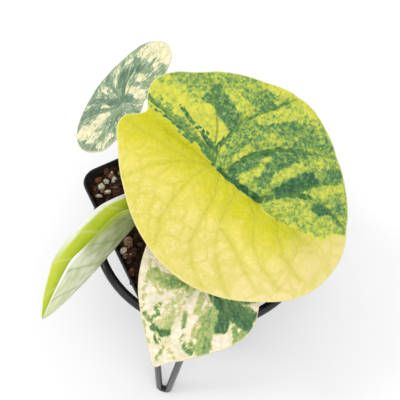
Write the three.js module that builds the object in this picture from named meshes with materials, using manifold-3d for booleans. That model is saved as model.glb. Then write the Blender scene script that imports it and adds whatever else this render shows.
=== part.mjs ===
// A potted aroid with four shield leaves, standing in a black wire stand.
// Millimetres, +Z up, with the front of the plant towards -Y. Points are given from the pot's axis on the floor.
import * as THREE from 'three';
import { mergeVertices } from 'three/addons/utils/BufferGeometryUtils.js';
import Module from 'manifold-3d';

const wasm = await Module();
wasm.setup();

// Driving dimensions
const GAP = 0.3;

const POT = {
  yaw: 27.6,
  bottom: 35, shoulder: 117, rim: 125,
  bottomHalf: 35, bodyHalf: 43.7, bandHalf: 50.4, rimHalf: 51,
  bottomCorner: 12, bodyCorner: 15, rimCorner: 9,
  wall: 1.2, drainHole: 4.5, drainSpread: 19,
};

const MIX = {
  top: 120.2, edgeDrop: 0.8, lumpRelief: 0.8, seed: 7,
  grainWidth: [0.55, 0.85], grainTilt: [-0.25, 0.25], grainLift: 0.1,
};
const BARK = { count: 18, size: [3.2, 6.2], flatness: 0.4 };
const PERLITE = { count: 14, size: [1.5, 2.4], flatness: 0.85 };

const STEM = { radius: 10, top: 125, depth: 18, clearance: 0.4 };
const PETIOLE = { foot: 2.9, tip: 2.2, ring: 5.4, steps: 14 };

const STAND = {
  ringRod: 4.8, legRod: 4.2, ringRadius: 58.6,
  legs: 3, topAzimuth: -15.8, topSpread: 10.5,
  footAzimuth: -20, footRadius: 77.3, footBend: 2.6, footFlat: 0.5,
  bendAngles: [-86, -64, -42, -21, 0, 21, 42, 64, 86],
};

const BLADE = 0.9;

// Leaf outlines are radii about the point where the stalk joins: [degrees from the tip, mm],
// with positive angles on the side that faces the viewer's left when the tip points away.
const BIG_LEAF = {
  name: 'leaf_big',
  origin: [5.3, 3.1, 165], tip: [0.783, -0.513, -0.351], normal: [0.22, -0.30, 0.93],
  petiole: { name: 'petiole_big', azimuth: 110, rise: 14, arrive: 14 },
  outline: [
    [0, 77.5], [13, 75.5], [24, 71], [34, 66], [55, 58.8], [66, 55.8], [78, 52.4], [99, 47.5], [124, 44.4],
    [140, 44.8], [154, 46.5], [165, 49.5], [172, 48.5], [178, 43], [183, 42], [190, 47], [197, 50.5],
    [204, 51], [212, 50], [222, 47.5], [237, 48], [250, 49.5], [264, 52], [279, 58], [291, 61.5], [304, 63], [323, 66.5],
    [342, 73], [352, 76.5],
  ],
  droopAcross: 0.0012, droopAlong: 0.0012,
  // Height and steepness of the two halves where they rise from the sunken midrib
  nearRise: { height: 6.5, start: 5, reach: 34 },
  farRise: { height: 3.8, start: 7, reach: 38 },
  // The rise fades out over these stretches at the notch and at the tip
  riseFrom: [-46, -26], riseTo: [46, 76],
  funnel: { depth: 0, reach: 8 },
  veinDepth: 1.2, veinWidth: 4,
  veins: [
    [[-3, 2], [-20, -3], [-41, 2], [-53, 10]],
    [[-2, 4], [-12, 8], [-23, 14], [-32, 24], [-45, 45]],
    [[0, 25], [-8, 31], [-17, 41], [-22, 59], [-22, 68]],
    [[0, -8], [5, -31], [13, -46]],
    [[2, -4], [13, -25], [27, -32]],
    [[2, -2], [22, -6], [33, -5], [50, 7]],
    [[2, 16], [20, 11], [29, 16], [43, 36]],
    [[20, 11], [23, 26], [37, 45]],
    [[1, 36], [14, 50], [22, 60]],
  ],
  sectors: 56, rings: 8,
  colour: 0xd3d657,
};

const BACK_LEAF = {
  name: 'leaf_back',
  origin: [-44.9, 53.1, 145], tip: [-0.421, 0.701, -0.576], normal: [-0.71, 0.222, 0.668],
  petiole: { name: 'petiole_back', azimuth: 212, rise: 16, arrive: 18 },
  outline: [
    [0, 46], [14, 45.5], [30, 44], [47, 44.5], [60, 43.5], [75, 42], [90, 41.5], [106, 40.5], [118, 40],
    [135, 36], [150, 30], [158, 25.5], [167, 28], [180, 30.5], [200, 30], [213, 29.5], [228, 31],
    [251, 30.5], [270, 31.5], [292, 34], [313, 38], [330, 41.5], [345, 44],
  ],
  droopAcross: 0.0006, droopAlong: 0.0004,
  nearRise: { height: 1.5, start: 6, reach: 30 },
  farRise: { height: 1.5, start: 6, reach: 30 },
  riseFrom: [-24, -10], riseTo: [20, 44],
  funnel: { depth: 2.2, reach: 9 },
  veinDepth: 1.1, veinWidth: 3,
  veins: [
    [[2, 2], [22, 22]], [[3, 0], [36, 8]], [[3, -3], [33, -12]], [[-2, 2], [-18, 26]],
    [[-3, 0], [-28, 6]], [[-3, -3], [-22, -16]],
  ],
  sectors: 44, rings: 6,
  colour: 0x8fa77c,
};

const FRONT_LEAF = {
  name: 'leaf_front',
  origin: [3.5, -34.2, 139], tip: [-0.488, -0.833, -0.261], normal: [0.116, -0.36, 0.926],
  petiole: { name: 'petiole_front', azimuth: 6, rise: 7, arrive: 6 },
  outline: [
    [0, 56], [4.5, 52], [13, 46.5], [27, 40.7], [40, 37.4], [56, 34.3], [71, 32.5], [90, 31.5],
    [110, 31], [130, 31], [150, 31], [170, 28], [180, 23], [190, 28], [205, 30], [225, 29],
    [245, 28], [265, 28.5], [283, 31], [294, 35.5], [306, 39], [317, 40.5], [335, 43.8],
    [348.5, 48.6], [355.5, 52],
  ],
  droopAcross: 0.0010, droopAlong: 0.0008,
  nearRise: { height: 1.6, start: 4, reach: 24 },
  farRise: { height: 1.6, start: 4, reach: 24 },
  riseFrom: [-24, -10], riseTo: [30, 54],
  funnel: { depth: 1, reach: 7 },
  veinDepth: 0.8, veinWidth: 3,
  veins: [
    [[-1, 2], [-8, 13], [-14, 24], [-18, 37]], [[1, 2], [17, 13], [29, 15]], [[0, 20], [12, 29], [20, 33]],
    [[-2, 0], [-22, 2], [-30, 8]], [[-2, -2], [-18, -16]], [[2, -2], [18, -16]],
  ],
  sectors: 44, rings: 6,
  colour: 0xd9dcae,
};

// The young leaf is still folded like a boat: its keel and its two edges, from the stalk to the tip
const YOUNG_LEAF = {
  name: 'leaf_young',
  keel: [
    [-23, 3, 137.5], [-34, -11, 134.5], [-42, -20.5, 133], [-54, -35, 130.5], [-63, -45, 129],
    [-70, -52, 127.5], [-77.5, -58.4, 126],
  ],
  nearEdge: [
    [-24, 1.5, 142], [-35, -8.5, 145.5], [-43.5, -11.5, 144], [-57.4, -27.1, 141.7], [-64.6, -34.4, 139.1],
    [-72, -47.1, 132.8], [-77.8, -58.2, 126.4],
  ],
  farEdge: [
    [-25, 5, 143], [-37.5, -1.5, 147.5], [-54, -10.5, 146], [-71, -29.8, 139.2], [-75.4, -41, 134.2],
    [-77.3, -49.8, 130.6], [-78.2, -58, 126.4],
  ],
  bulge: 0.9, stations: 14, across: 8, stalkAt: 0.16,
  petiole: { name: 'petiole_young', azimuth: 283, rise: 9, arrive: 6, normal: [-0.35, -0.1, 0.93] },
  colour: 0xb9c860,
};

// Small helpers
const rad = THREE.MathUtils.degToRad;
const V = (...xyz) => new THREE.Vector3(...xyz.flat());

function seeded(seed) {
  let state = seed;
  return () => {
    state = (state * 16807) % 2147483647;
    return state / 2147483647;
  };
}

function meshGeometry(points, triangles) {
  const geometry = new THREE.BufferGeometry();
  const flat = points.flatMap((p) => [p.x, p.y, p.z]);
  geometry.setAttribute('position', new THREE.Float32BufferAttribute(flat, 3));
  geometry.setIndex(triangles.flat());
  return geometry;
}

function toManifold(geometry) {
  const bare = geometry.clone();
  bare.deleteAttribute('normal');
  bare.deleteAttribute('uv');
  const merged = mergeVertices(bare, 1e-4);
  return new wasm.Manifold(new wasm.Mesh({
    numProp: 3,
    vertProperties: new Float32Array(merged.attributes.position.array),
    triVerts: new Uint32Array(merged.index.array),
  }));
}

function fromManifold(solid) {
  const mesh = solid.getMesh();
  const geometry = new THREE.BufferGeometry();
  geometry.setAttribute('position', new THREE.BufferAttribute(new Float32Array(mesh.vertProperties), 3));
  geometry.setIndex(new THREE.BufferAttribute(new Uint32Array(mesh.triVerts), 1));
  return geometry;
}

// Closed loops of equal point count, stacked from bottom outside to top, capped at both ends
function loft(loops) {
  const n = loops[0].length;
  const points = loops.flat();
  const triangles = [];
  for (let k = 0; k + 1 < loops.length; k += 1) {
    for (let i = 0; i < n; i += 1) {
      const j = (i + 1) % n;
      const [a, b, c, d] = [k * n + i, k * n + j, (k + 1) * n + j, (k + 1) * n + i];
      triangles.push([a, b, c], [a, c, d]);
    }
  }
  const cap = (loop, base, flip) => {
    const centre = loop.reduce((sum, p) => sum.add(p), V(0, 0, 0)).divideScalar(n);
    points.push(centre);
    for (let i = 0; i < n; i += 1) {
      const j = (i + 1) % n;
      triangles.push(flip ? [points.length - 1, base + j, base + i] : [points.length - 1, base + i, base + j]);
    }
  };
  cap(loops[0], 0, true);
  cap(loops[loops.length - 1], (loops.length - 1) * n, false);
  return meshGeometry(points, triangles);
}

// A square with round corners, turned with the pot
function roundedSquare(half, corner, z, perCorner = 5) {
  const loop = [];
  for (let quarter = 0; quarter < 4; quarter += 1) {
    for (let i = 0; i <= perCorner; i += 1) {
      const turn = rad(90 * quarter + (90 * i) / perCorner);
      const centre = V(half - corner, half - corner, 0).applyAxisAngle(V(0, 0, 1), rad(90 * quarter));
      loop.push(V(centre.x + corner * Math.cos(turn), centre.y + corner * Math.sin(turn), z));
    }
  }
  return loop.map((p) => p.applyAxisAngle(V(0, 0, 1), rad(POT.yaw)));
}

// Points of a circle about a centre, from two square unit vectors
function circle(centre, first, second, radius, sides) {
  return Array.from({ length: sides }, (_, i) => {
    const turn = (2 * Math.PI * i) / sides;
    return centre.clone()
      .addScaledVector(first, radius * Math.cos(turn))
      .addScaledVector(second, radius * Math.sin(turn));
  });
}

// A round stalk along a curve, with a radius that changes along it
function stalk(curve, radiusAt, steps, sides = 8) {
  const frames = curve.computeFrenetFrames(steps, false);
  const loops = [];
  for (let k = 0; k <= steps; k += 1) {
    const centre = curve.getPointAt(k / steps);
    loops.push(circle(centre, frames.normals[k], frames.binormals[k], radiusAt(k / steps), sides));
  }
  return loft(loops);
}

const group = new THREE.Group();

function add(name, geometry, colour, roughness, metalness = 0) {
  const material = new THREE.MeshStandardMaterial({ color: colour, roughness, metalness });
  const mesh = new THREE.Mesh(geometry, material);
  mesh.name = name;
  group.add(mesh);
  return mesh;
}

// Nursery pot: thin tapered square with a wider band at the top and drain holes in its floor
function pot() {
  const { wall } = POT;
  const shell = loft([
    roundedSquare(POT.bottomHalf, POT.bottomCorner, POT.bottom),
    roundedSquare(POT.bodyHalf, POT.bodyCorner, POT.shoulder),
    roundedSquare(POT.bandHalf, POT.rimCorner, POT.shoulder),
    roundedSquare(POT.rimHalf, POT.rimCorner, POT.rim),
    roundedSquare(POT.rimHalf - wall, POT.rimCorner - wall, POT.rim),
    roundedSquare(POT.bandHalf - wall, POT.rimCorner - wall, POT.shoulder + wall),
    roundedSquare(POT.bodyHalf - wall, POT.bodyCorner - wall, POT.shoulder + wall),
    roundedSquare(POT.bottomHalf - wall, POT.bottomCorner - wall, POT.bottom + wall),
  ]);
  let solid = toManifold(shell);
  const spots = [[0, 0], [1, 1], [1, -1], [-1, 1], [-1, -1]];
  for (const [x, y] of spots) {
    const hole = new THREE.CylinderGeometry(POT.drainHole, POT.drainHole, 4 * wall, 12);
    hole.rotateX(Math.PI / 2);
    hole.translate(x * POT.drainSpread, y * POT.drainSpread, POT.bottom + wall / 2);
    hole.rotateZ(rad(POT.yaw));
    solid = solid.subtract(toManifold(hole));
  }
  add('pot', fromManifold(solid), 0x17191c, 0.45);
}

// Potting mix: fills the pot, with bark chunks and perlite grains standing half out of its top
function pottingMix() {
  const { wall } = POT;
  const random = seeded(MIX.seed);
  const between = ([low, high]) => low + (high - low) * random();
  const inset = wall + GAP + 0.1;
  const edge = POT.bandHalf - inset;
  const ledge = POT.shoulder + wall + GAP;
  const loops = [
    roundedSquare(POT.bottomHalf - inset, POT.bottomCorner - inset, POT.bottom + wall + GAP),
    roundedSquare(POT.bodyHalf - inset, POT.bodyCorner - inset, ledge),
    roundedSquare(edge, POT.rimCorner - inset, ledge),
    roundedSquare(edge, POT.rimCorner - inset, MIX.top - MIX.edgeDrop),
  ];
  for (const share of [0.86, 0.7, 0.54, 0.38]) {
    const loop = roundedSquare(edge * share, POT.rimCorner, MIX.top);
    loops.push(loop.map((p) => p.setZ(MIX.top + between([-MIX.lumpRelief, MIX.lumpRelief]))));
  }
  let solid = toManifold(loft(loops));
  const grainSolid = (size, flatness, clear) => {
    const grain = new THREE.IcosahedronGeometry(size, 0);
    grain.scale(1, between(MIX.grainWidth), flatness);
    grain.rotateX(between(MIX.grainTilt));
    grain.rotateZ(2 * Math.PI * random());
    const reach = POT.bodyHalf - size;
    let x = 0;
    let y = 0;
    while (Math.hypot(x, y) < clear) {
      x = between([-reach, reach]);
      y = between([-reach, reach]);
    }
    grain.translate(x, y, MIX.top + MIX.grainLift * size);
    grain.rotateZ(rad(POT.yaw));
    return toManifold(grain);
  };
  const clear = STEM.radius + BARK.size[1] + 1;
  for (const kind of [BARK, PERLITE]) {
    for (let i = 0; i < kind.count; i += 1) {
      solid = solid.add(grainSolid(between(kind.size), kind.flatness, clear));
    }
  }
  const bore = STEM.radius + STEM.clearance;
  const hole = new THREE.CylinderGeometry(bore, bore, 2 * STEM.depth, 20);
  hole.rotateX(Math.PI / 2);
  hole.translate(0, 0, MIX.top);
  solid = solid.subtract(toManifold(hole));
  add('potting_mix', fromManifold(solid), 0x3a261b, 0.95);
}

// Short stem: the top of the corm with the old sheath scars, set in a plain hole in the mix
function stem() {
  const base = MIX.top - STEM.depth + GAP;
  const scar = (MIX.top + STEM.top) / 2;
  const profile = [[0, base], [STEM.radius, base], [STEM.radius, scar - 1], [STEM.radius - 0.7, scar],
    [STEM.radius - 0.2, scar + 0.8], [STEM.radius - 0.6, STEM.top - 0.6], [STEM.radius - 1.4, STEM.top], [0, STEM.top]];
  const geometry = new THREE.LatheGeometry(profile.map(([r, z]) => new THREE.Vector2(r, z)), 20);
  geometry.rotateX(Math.PI / 2);
  add('stem', geometry, 0x8c9a5e, 0.7);
}

// Wire stand: a ring that carries the pot under its shoulder, on hairpin legs
function stand() {
  const rod = STAND.ringRod / 2;
  const ringHeight = POT.shoulder - GAP - rod;
  const ring = new THREE.TorusGeometry(STAND.ringRadius, rod, 8, 48);
  ring.translate(0, 0, ringHeight);
  add('stand_ring', ring, 0x101114, 0.35, 0.3);

  const legRod = STAND.legRod / 2;
  const polar = (radius, azimuth, z) => V(radius * Math.sin(rad(azimuth)), -radius * Math.cos(rad(azimuth)), z);
  for (let leg = 0; leg < STAND.legs; leg += 1) {
    const turn = (360 / STAND.legs) * leg;
    const topZ = ringHeight - rod - GAP - 0.5;
    const top = [-1, 1].map((side) => polar(
      STAND.ringRadius, STAND.topAzimuth + side * STAND.topSpread + turn, topZ));
    const foot = polar(STAND.footRadius, STAND.footAzimuth + turn, legRod - STAND.footFlat);
    const up = top[0].clone().add(top[1]).multiplyScalar(0.5).sub(foot).normalize();
    const across = top[1].clone().sub(top[0]);
    across.addScaledVector(up, -across.dot(up)).normalize();
    const centre = foot.clone().addScaledVector(up, STAND.footBend);
    const bend = STAND.bendAngles.map((angle) => centre.clone()
      .addScaledVector(across, STAND.footBend * Math.sin(rad(angle)))
      .addScaledVector(up, -STAND.footBend * Math.cos(rad(angle))));
    const path = [top[0], ...bend, top[1]];
    const out = across.clone().cross(up);
    const hairpin = toManifold(loft(path.map((point, k) => {
      // The two arms are straight, so their first and last sections stand square on them
      const from = path[Math.max(k - 1, 0)];
      const to = path[Math.min(k + 1, path.length - 1)];
      const forward = k === 1 ? point.clone().sub(from) : to.clone().sub(k === path.length - 2 ? point : from);
      const side = forward.normalize().cross(out);
      return circle(point, out, side, legRod, 10);
    })));
    const below = new THREE.BoxGeometry(40, 40, 10);
    below.translate(foot.x, foot.y, -5);
    add(`stand_leg_${leg + 1}`, fromManifold(hairpin.subtract(toManifold(below))), 0x101114, 0.35, 0.3);
  }
}

// Leaf frame: its stalk point, and unit vectors to the tip, across and up out of the blade
function leafFrame(leaf) {
  const tip = V(leaf.tip).normalize();
  const normal = V(leaf.normal);
  normal.addScaledVector(tip, -normal.dot(tip)).normalize();
  const across = tip.clone().cross(normal);
  return { origin: V(leaf.origin), tip, normal, across };
}

// Smooth closed outline through the radii, as a Catmull-Rom curve over the angle
function outlineRadius(outline, degrees) {
  const n = outline.length;
  const angle = ((degrees % 360) + 360) % 360;
  let i = n - 1;
  while (outline[i][0] > angle) i -= 1;
  const at = (k) => {
    const wrapped = ((k % n) + n) % n;
    return [outline[wrapped][0] + 360 * Math.floor(k / n), outline[wrapped][1]];
  };
  const [p0, p1, p2, p3] = [at(i - 1), at(i), at(i + 1), at(i + 2)];
  const x = (angle - p1[0]) / (p2[0] - p1[0]);
  const m1 = ((p2[1] - p0[1]) / (p2[0] - p0[0])) * (p2[0] - p1[0]);
  const m2 = ((p3[1] - p1[1]) / (p3[0] - p1[0])) * (p2[0] - p1[0]);
  return (2 * x ** 3 - 3 * x ** 2 + 1) * p1[1] + (x ** 3 - 2 * x ** 2 + x) * m1
    + (-2 * x ** 3 + 3 * x ** 2) * p2[1] + (x ** 3 - x ** 2) * m2;
}

function distanceToLine(s, t, line) {
  let best = Infinity;
  for (let i = 0; i + 1 < line.length; i += 1) {
    const [ax, ay] = line[i];
    const [dx, dy] = [line[i + 1][0] - ax, line[i + 1][1] - ay];
    const k = THREE.MathUtils.clamp(((s - ax) * dx + (t - ay) * dy) / (dx * dx + dy * dy), 0, 1);
    best = Math.min(best, Math.hypot(s - ax - k * dx, t - ay - k * dy));
  }
  return best;
}

// Height of the upper face over the leaf's own plane, s across and t towards the tip
function leafHeight(leaf, s, t) {
  const rise = s > 0 ? leaf.nearRise : leaf.farRise;
  const away = Math.abs(s);
  const along = THREE.MathUtils.smoothstep(t, ...leaf.riseFrom) * (1 - THREE.MathUtils.smoothstep(t, ...leaf.riseTo));
  const bulge = rise.height * (1 - Math.exp(-away / rise.start)) * Math.exp(-((away / rise.reach) ** 2)) * along;
  const funnel = leaf.funnel.depth * (1 - Math.exp(-Math.hypot(s, t) / leaf.funnel.reach));
  const vein = Math.min(...leaf.veins.map((line) => distanceToLine(s, t, line)));
  const groove = leaf.veinDepth * Math.exp(-((vein / leaf.veinWidth) ** 2)) * (1 - Math.exp(-Math.hypot(s, t) / 6));
  return bulge + funnel - groove - leaf.droopAcross * s * s - leaf.droopAlong * t * t;
}

// A shield leaf blade: rings and sectors about the stalk point, alike on both faces
function leafBlade(leaf) {
  const { origin, tip, normal, across } = leafFrame(leaf);
  const { sectors, rings } = leaf;
  const points = [];
  for (const lower of [0, BLADE]) {
    for (let ring = 0; ring <= rings; ring += 1) {
      const share = (ring / rings) ** 0.9;
      for (let k = 0; k < (ring ? sectors : 1); k += 1) {
        const degrees = (360 * k) / sectors;
        const radius = share * outlineRadius(leaf.outline, degrees);
        const s = radius * Math.sin(rad(degrees));
        const t = radius * Math.cos(rad(degrees));
        points.push(origin.clone().addScaledVector(across, s).addScaledVector(tip, t)
          .addScaledVector(normal, leafHeight(leaf, s, t) - lower));
      }
    }
  }
  const face = 1 + rings * sectors;
  const at = (ring, k) => (ring ? 1 + (ring - 1) * sectors + (k % sectors) : 0);
  const triangles = [];
  for (let k = 0; k < sectors; k += 1) {
    for (let ring = 0; ring < rings; ring += 1) {
      const [a, b, c, d] = [at(ring, k), at(ring + 1, k), at(ring + 1, k + 1), at(ring, k + 1)];
      triangles.push([a, c, b], [face + a, face + b, face + c]);
      if (ring) triangles.push([a, d, c], [face + a, face + c, face + d]);
    }
    const [a, b] = [at(rings, k), at(rings, k + 1)];
    triangles.push([a, b, face + b], [a, face + b, face + a]);
  }
  add(leaf.name, meshGeometry(points, triangles), leaf.colour, 0.55);
}

// The young leaf: two halves that rise from the keel, each bowed outwards
function youngSection(leaf, u) {
  const curve = (line) => new THREE.CatmullRomCurve3(line.map((p) => V(p)), false, 'centripetal').getPoint(u);
  const [keel, near, far] = [leaf.keel, leaf.nearEdge, leaf.farEdge].map(curve);
  const mouth = near.clone().add(far).multiplyScalar(0.5);
  const section = [];
  for (let i = 0; i <= leaf.across; i += 1) {
    const side = (2 * i) / leaf.across - 1;
    const edge = side < 0 ? near : far;
    const share = Math.abs(side);
    const point = keel.clone().lerp(edge, share);
    const outward = edge.clone().sub(mouth).normalize();
    const width = edge.distanceTo(keel);
    point.addScaledVector(outward, leaf.bulge * Math.sin(Math.PI * share) * Math.min(1, width / 9));
    section.push(point);
  }
  return section;
}

// Its blades are as thick outwards, and below the keel, so the two never pass through each other
function youngLeaf(leaf) {
  const { stations, across } = leaf;
  const rows = Array.from({ length: stations + 1 }, (_, k) => youngSection(leaf, k / stations));
  const outer = rows.map((row, k) => row.map((point, i) => {
    const mouth = row[0].clone().add(row[across]).multiplyScalar(0.5);
    const along = rows[Math.min(k + 1, stations)][i].clone().sub(rows[Math.max(k - 1, 0)][i]);
    const over = row[Math.min(i + 1, across)].clone().sub(row[Math.max(i - 1, 0)]);
    const out = 2 * i === across ? point.clone().sub(mouth) : along.cross(over);
    return point.clone().addScaledVector(out.normalize(), BLADE);
  }));
  const points = [...rows.flat(), ...outer.flat()];
  const face = (stations + 1) * (across + 1);
  const at = (k, i) => k * (across + 1) + i;
  const triangles = [];
  for (let k = 0; k < stations; k += 1) {
    for (let i = 0; i < across; i += 1) {
      const [a, b, c, d] = [at(k, i), at(k + 1, i), at(k + 1, i + 1), at(k, i + 1)];
      triangles.push([a, c, b], [a, d, c], [face + a, face + b, face + c], [face + a, face + c, face + d]);
    }
  }
  const wall = (a, b) => triangles.push([a, face + b, b], [a, face + a, face + b]);
  for (let i = 0; i < across; i += 1) {
    wall(at(0, i), at(0, i + 1));
    wall(at(stations, i + 1), at(stations, i));
  }
  for (let k = 0; k < stations; k += 1) {
    wall(at(k + 1, 0), at(k, 0));
    wall(at(k, across), at(k + 1, across));
  }
  add(leaf.name, meshGeometry(points, triangles), leaf.colour, 0.5);
}

// A leaf stalk from the stem's top to the underside of its blade, which it meets square on
function petiole({ name, azimuth, rise, arrive }, end, normal) {
  const foot = V(Math.sin(rad(azimuth)), -Math.cos(rad(azimuth)), 0).multiplyScalar(PETIOLE.ring);
  foot.setZ(STEM.top + GAP);
  const tip = V(end).addScaledVector(normal, -(BLADE + GAP));
  const curve = new THREE.CubicBezierCurve3(
    foot, foot.clone().add(V(0, 0, rise)), tip.clone().addScaledVector(normal, -arrive), tip);
  const radiusAt = (u) => THREE.MathUtils.lerp(PETIOLE.foot, PETIOLE.tip, Math.min(1, 1.6 * u));
  add(name, stalk(curve, radiusAt, PETIOLE.steps), 0xa9bd6d, 0.5);
}

pot();
pottingMix();
stem();
stand();

for (const leaf of [BIG_LEAF, BACK_LEAF, FRONT_LEAF]) {
  leafBlade(leaf);
  petiole(leaf.petiole, leaf.origin, leafFrame(leaf).normal);
}

youngLeaf(YOUNG_LEAF);
const keelPoint = youngSection(YOUNG_LEAF, YOUNG_LEAF.stalkAt)[YOUNG_LEAF.across / 2];
petiole(YOUNG_LEAF.petiole, keelPoint.toArray(), V(YOUNG_LEAF.petiole.normal).normalize());

// The origin moves from the pot's axis to the middle of the whole part's outline on the floor
const outlineBox = new THREE.Box3().setFromObject(group);
const middle = outlineBox.getCenter(V(0, 0, 0));
for (const mesh of group.children) mesh.geometry.translate(-middle.x, -middle.y, -outlineBox.min.z);

export default group;
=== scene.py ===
"""A variegated shield-leaved aroid in a square nursery pot, carried by a black wire stand."""

import math
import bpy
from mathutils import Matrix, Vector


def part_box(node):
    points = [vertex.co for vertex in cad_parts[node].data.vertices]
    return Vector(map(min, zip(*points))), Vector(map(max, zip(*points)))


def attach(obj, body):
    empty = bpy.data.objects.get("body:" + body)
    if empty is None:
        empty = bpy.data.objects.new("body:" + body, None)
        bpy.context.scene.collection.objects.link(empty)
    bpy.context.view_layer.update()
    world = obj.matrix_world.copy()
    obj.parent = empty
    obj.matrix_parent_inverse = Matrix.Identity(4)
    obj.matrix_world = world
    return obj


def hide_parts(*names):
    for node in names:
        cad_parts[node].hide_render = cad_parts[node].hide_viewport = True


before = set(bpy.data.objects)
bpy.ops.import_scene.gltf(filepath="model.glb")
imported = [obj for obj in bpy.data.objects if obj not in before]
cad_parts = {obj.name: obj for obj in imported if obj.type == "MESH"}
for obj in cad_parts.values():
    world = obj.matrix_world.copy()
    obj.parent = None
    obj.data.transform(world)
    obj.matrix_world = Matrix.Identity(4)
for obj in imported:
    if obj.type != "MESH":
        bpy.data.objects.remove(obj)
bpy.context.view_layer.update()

from types import SimpleNamespace

import bpy
import numpy as np
from bpy.props import FloatProperty, FloatVectorProperty, IntProperty, PointerProperty
from mathutils import Vector, noise

bl_info = {
    "name": "Potted aroid in a wire stand",
    "version": (1, 0, 0),
    "blender": (4, 5, 0),
    "location": "View3D > Sidebar > Aroid",
    "description": "Builds the leaves, stalks, potting mix, pot and stand, and the stage they stand on",
    "category": "Object",
}

MM = 0.001
RING_LOW, RING_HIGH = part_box("stand_ring")
# The pot's axis on the floor: every piece is given from it, in millimetres
AXIS = np.array([(RING_LOW.x + RING_HIGH.x) / 2, (RING_LOW.y + RING_HIGH.y) / 2, 0.0])


# Shader maths


class Number:
    """A number that varies over a surface: a shader socket with arithmetic."""

    def __init__(self, paint, socket):
        self.paint = paint
        self.socket = socket

    def _math(self, operation, *values):
        node = self.paint.node("ShaderNodeMath", {"operation": operation}, dict(enumerate(values)))
        return Number(self.paint, node.outputs[0])

    def __add__(self, other):
        return self._math("ADD", self, other)

    def __radd__(self, other):
        return self._math("ADD", other, self)

    def __sub__(self, other):
        return self._math("SUBTRACT", self, other)

    def __rsub__(self, other):
        return self._math("SUBTRACT", other, self)

    def __mul__(self, other):
        return self._math("MULTIPLY", self, other)

    def __rmul__(self, other):
        return self._math("MULTIPLY", other, self)

    def steps(self, low, high, start=0.0, end=1.0):
        """start below low, end above high, and a smooth change between them."""
        node = self.paint.node(
            "ShaderNodeMapRange",
            {"interpolation_type": "SMOOTHSTEP", "clamp": True},
            {"Value": self, "From Min": low, "From Max": high, "To Min": start, "To Max": end},
        )
        return Number(self.paint, node.outputs["Result"])


def linear(code):
    """A colour written as on the web, as the shader takes it."""
    parts = [int(code[i:i + 2], 16) / 255 for i in (1, 3, 5)]
    return tuple(p / 12.92 if p <= 0.04045 else ((p + 0.055) / 1.055) ** 2.4 for p in parts)


def rgba(colour):
    """Four numbers for a colour that is given as a code or as three numbers."""
    if isinstance(colour, str):
        colour = linear(colour)
    return (*colour, 1.0)


class Paint:
    """One procedural material: a principled shader and the nodes that feed it."""

    def __init__(self, name, roughness, **plain):
        self.material = bpy.data.materials.new(name)
        self.material.use_nodes = True
        self.tree = self.material.node_tree
        self.tree.nodes.clear()
        output = self.tree.nodes.new("ShaderNodeOutputMaterial")
        self.shader = self.tree.nodes.new("ShaderNodeBsdfPrincipled")
        self.tree.links.new(self.shader.outputs[0], output.inputs[0])
        self.shader.inputs["Roughness"].default_value = roughness
        for socket, value in plain.items():
            self.shader.inputs[socket.replace("_", " ")].default_value = value

    def put(self, socket, value):
        """Sets a socket to a value or a colour, or links it."""
        if isinstance(value, Number):
            value = value.socket
        if isinstance(value, bpy.types.NodeSocket):
            self.tree.links.new(value, socket)
        elif socket.type == "RGBA":
            socket.default_value = rgba(value)
        else:
            socket.default_value = value

    def node(self, kind, settings, values):
        """A node of any kind: its settings first, then its sockets by name or place."""
        made = self.tree.nodes.new(kind)
        for name, value in settings.items():
            if name == "stops":
                ramp = made.color_ramp
                while len(ramp.elements) < len(value):
                    ramp.elements.new(1.0)
                for element, (place, colour) in zip(ramp.elements, value):
                    element.position = place
                    element.color = rgba(colour)
            else:
                setattr(made, name, value)
        for name, value in values.items():
            self.put(made.inputs[name], value)
        return made

    def field(self, name):
        """A vector that the mesh carries at its points."""
        return self.node("ShaderNodeAttribute", {"attribute_name": name}, {}).outputs["Vector"]

    def place(self):
        """Where a point of the surface is, in metres."""
        return self.node("ShaderNodeTexCoord", {}, {}).outputs["Object"]

    def split(self, vector):
        node = self.node("ShaderNodeSeparateXYZ", {}, {0: vector})
        return [Number(self, socket) for socket in node.outputs]

    def stretch(self, vector, factors):
        node = self.node("ShaderNodeVectorMath", {"operation": "MULTIPLY"}, {0: vector, 1: factors})
        return node.outputs[0]

    def noise(self, vector, scale, detail, roughness=0.5):
        values = {"Vector": vector, "Scale": scale, "Detail": detail, "Roughness": roughness}
        return Number(self, self.node("ShaderNodeTexNoise", {}, values).outputs[0])

    def cells(self, vector, scale):
        """The distance to the nearest of many scattered points."""
        node = self.node("ShaderNodeTexVoronoi", {}, {"Vector": vector, "Scale": scale})
        return Number(self, node.outputs["Distance"])

    def grains(self, vector, scale):
        """A random number for each small cell of the surface."""
        node = self.node("ShaderNodeTexVoronoi", {}, {"Vector": vector, "Scale": scale})
        return Number(self, self.node("ShaderNodeSeparateColor", {}, {0: node.outputs["Color"]}).outputs[0])

    def mix(self, amount, first, second):
        """Two colours mixed by an amount from 0 to 1."""
        return self.node("ShaderNodeMix", {"data_type": "RGBA"}, {0: amount, 6: first, 7: second}).outputs[2]

    def ramp(self, amount, stops):
        return self.node("ShaderNodeValToRGB", {"stops": stops}, {0: amount}).outputs[0]

    def colour(self, value):
        self.put(self.shader.inputs["Base Color"], value)

    def rough(self, value):
        self.put(self.shader.inputs["Roughness"], value)

    def bump(self, height, millimetres):
        """Fine relief: a height from 0 to 1 stands for so many millimetres."""
        node = self.node("ShaderNodeBump", {}, {"Height": height, "Distance": millimetres * MM})
        self.put(self.shader.inputs["Normal"], node.outputs[0])


# Mesh helpers


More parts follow.
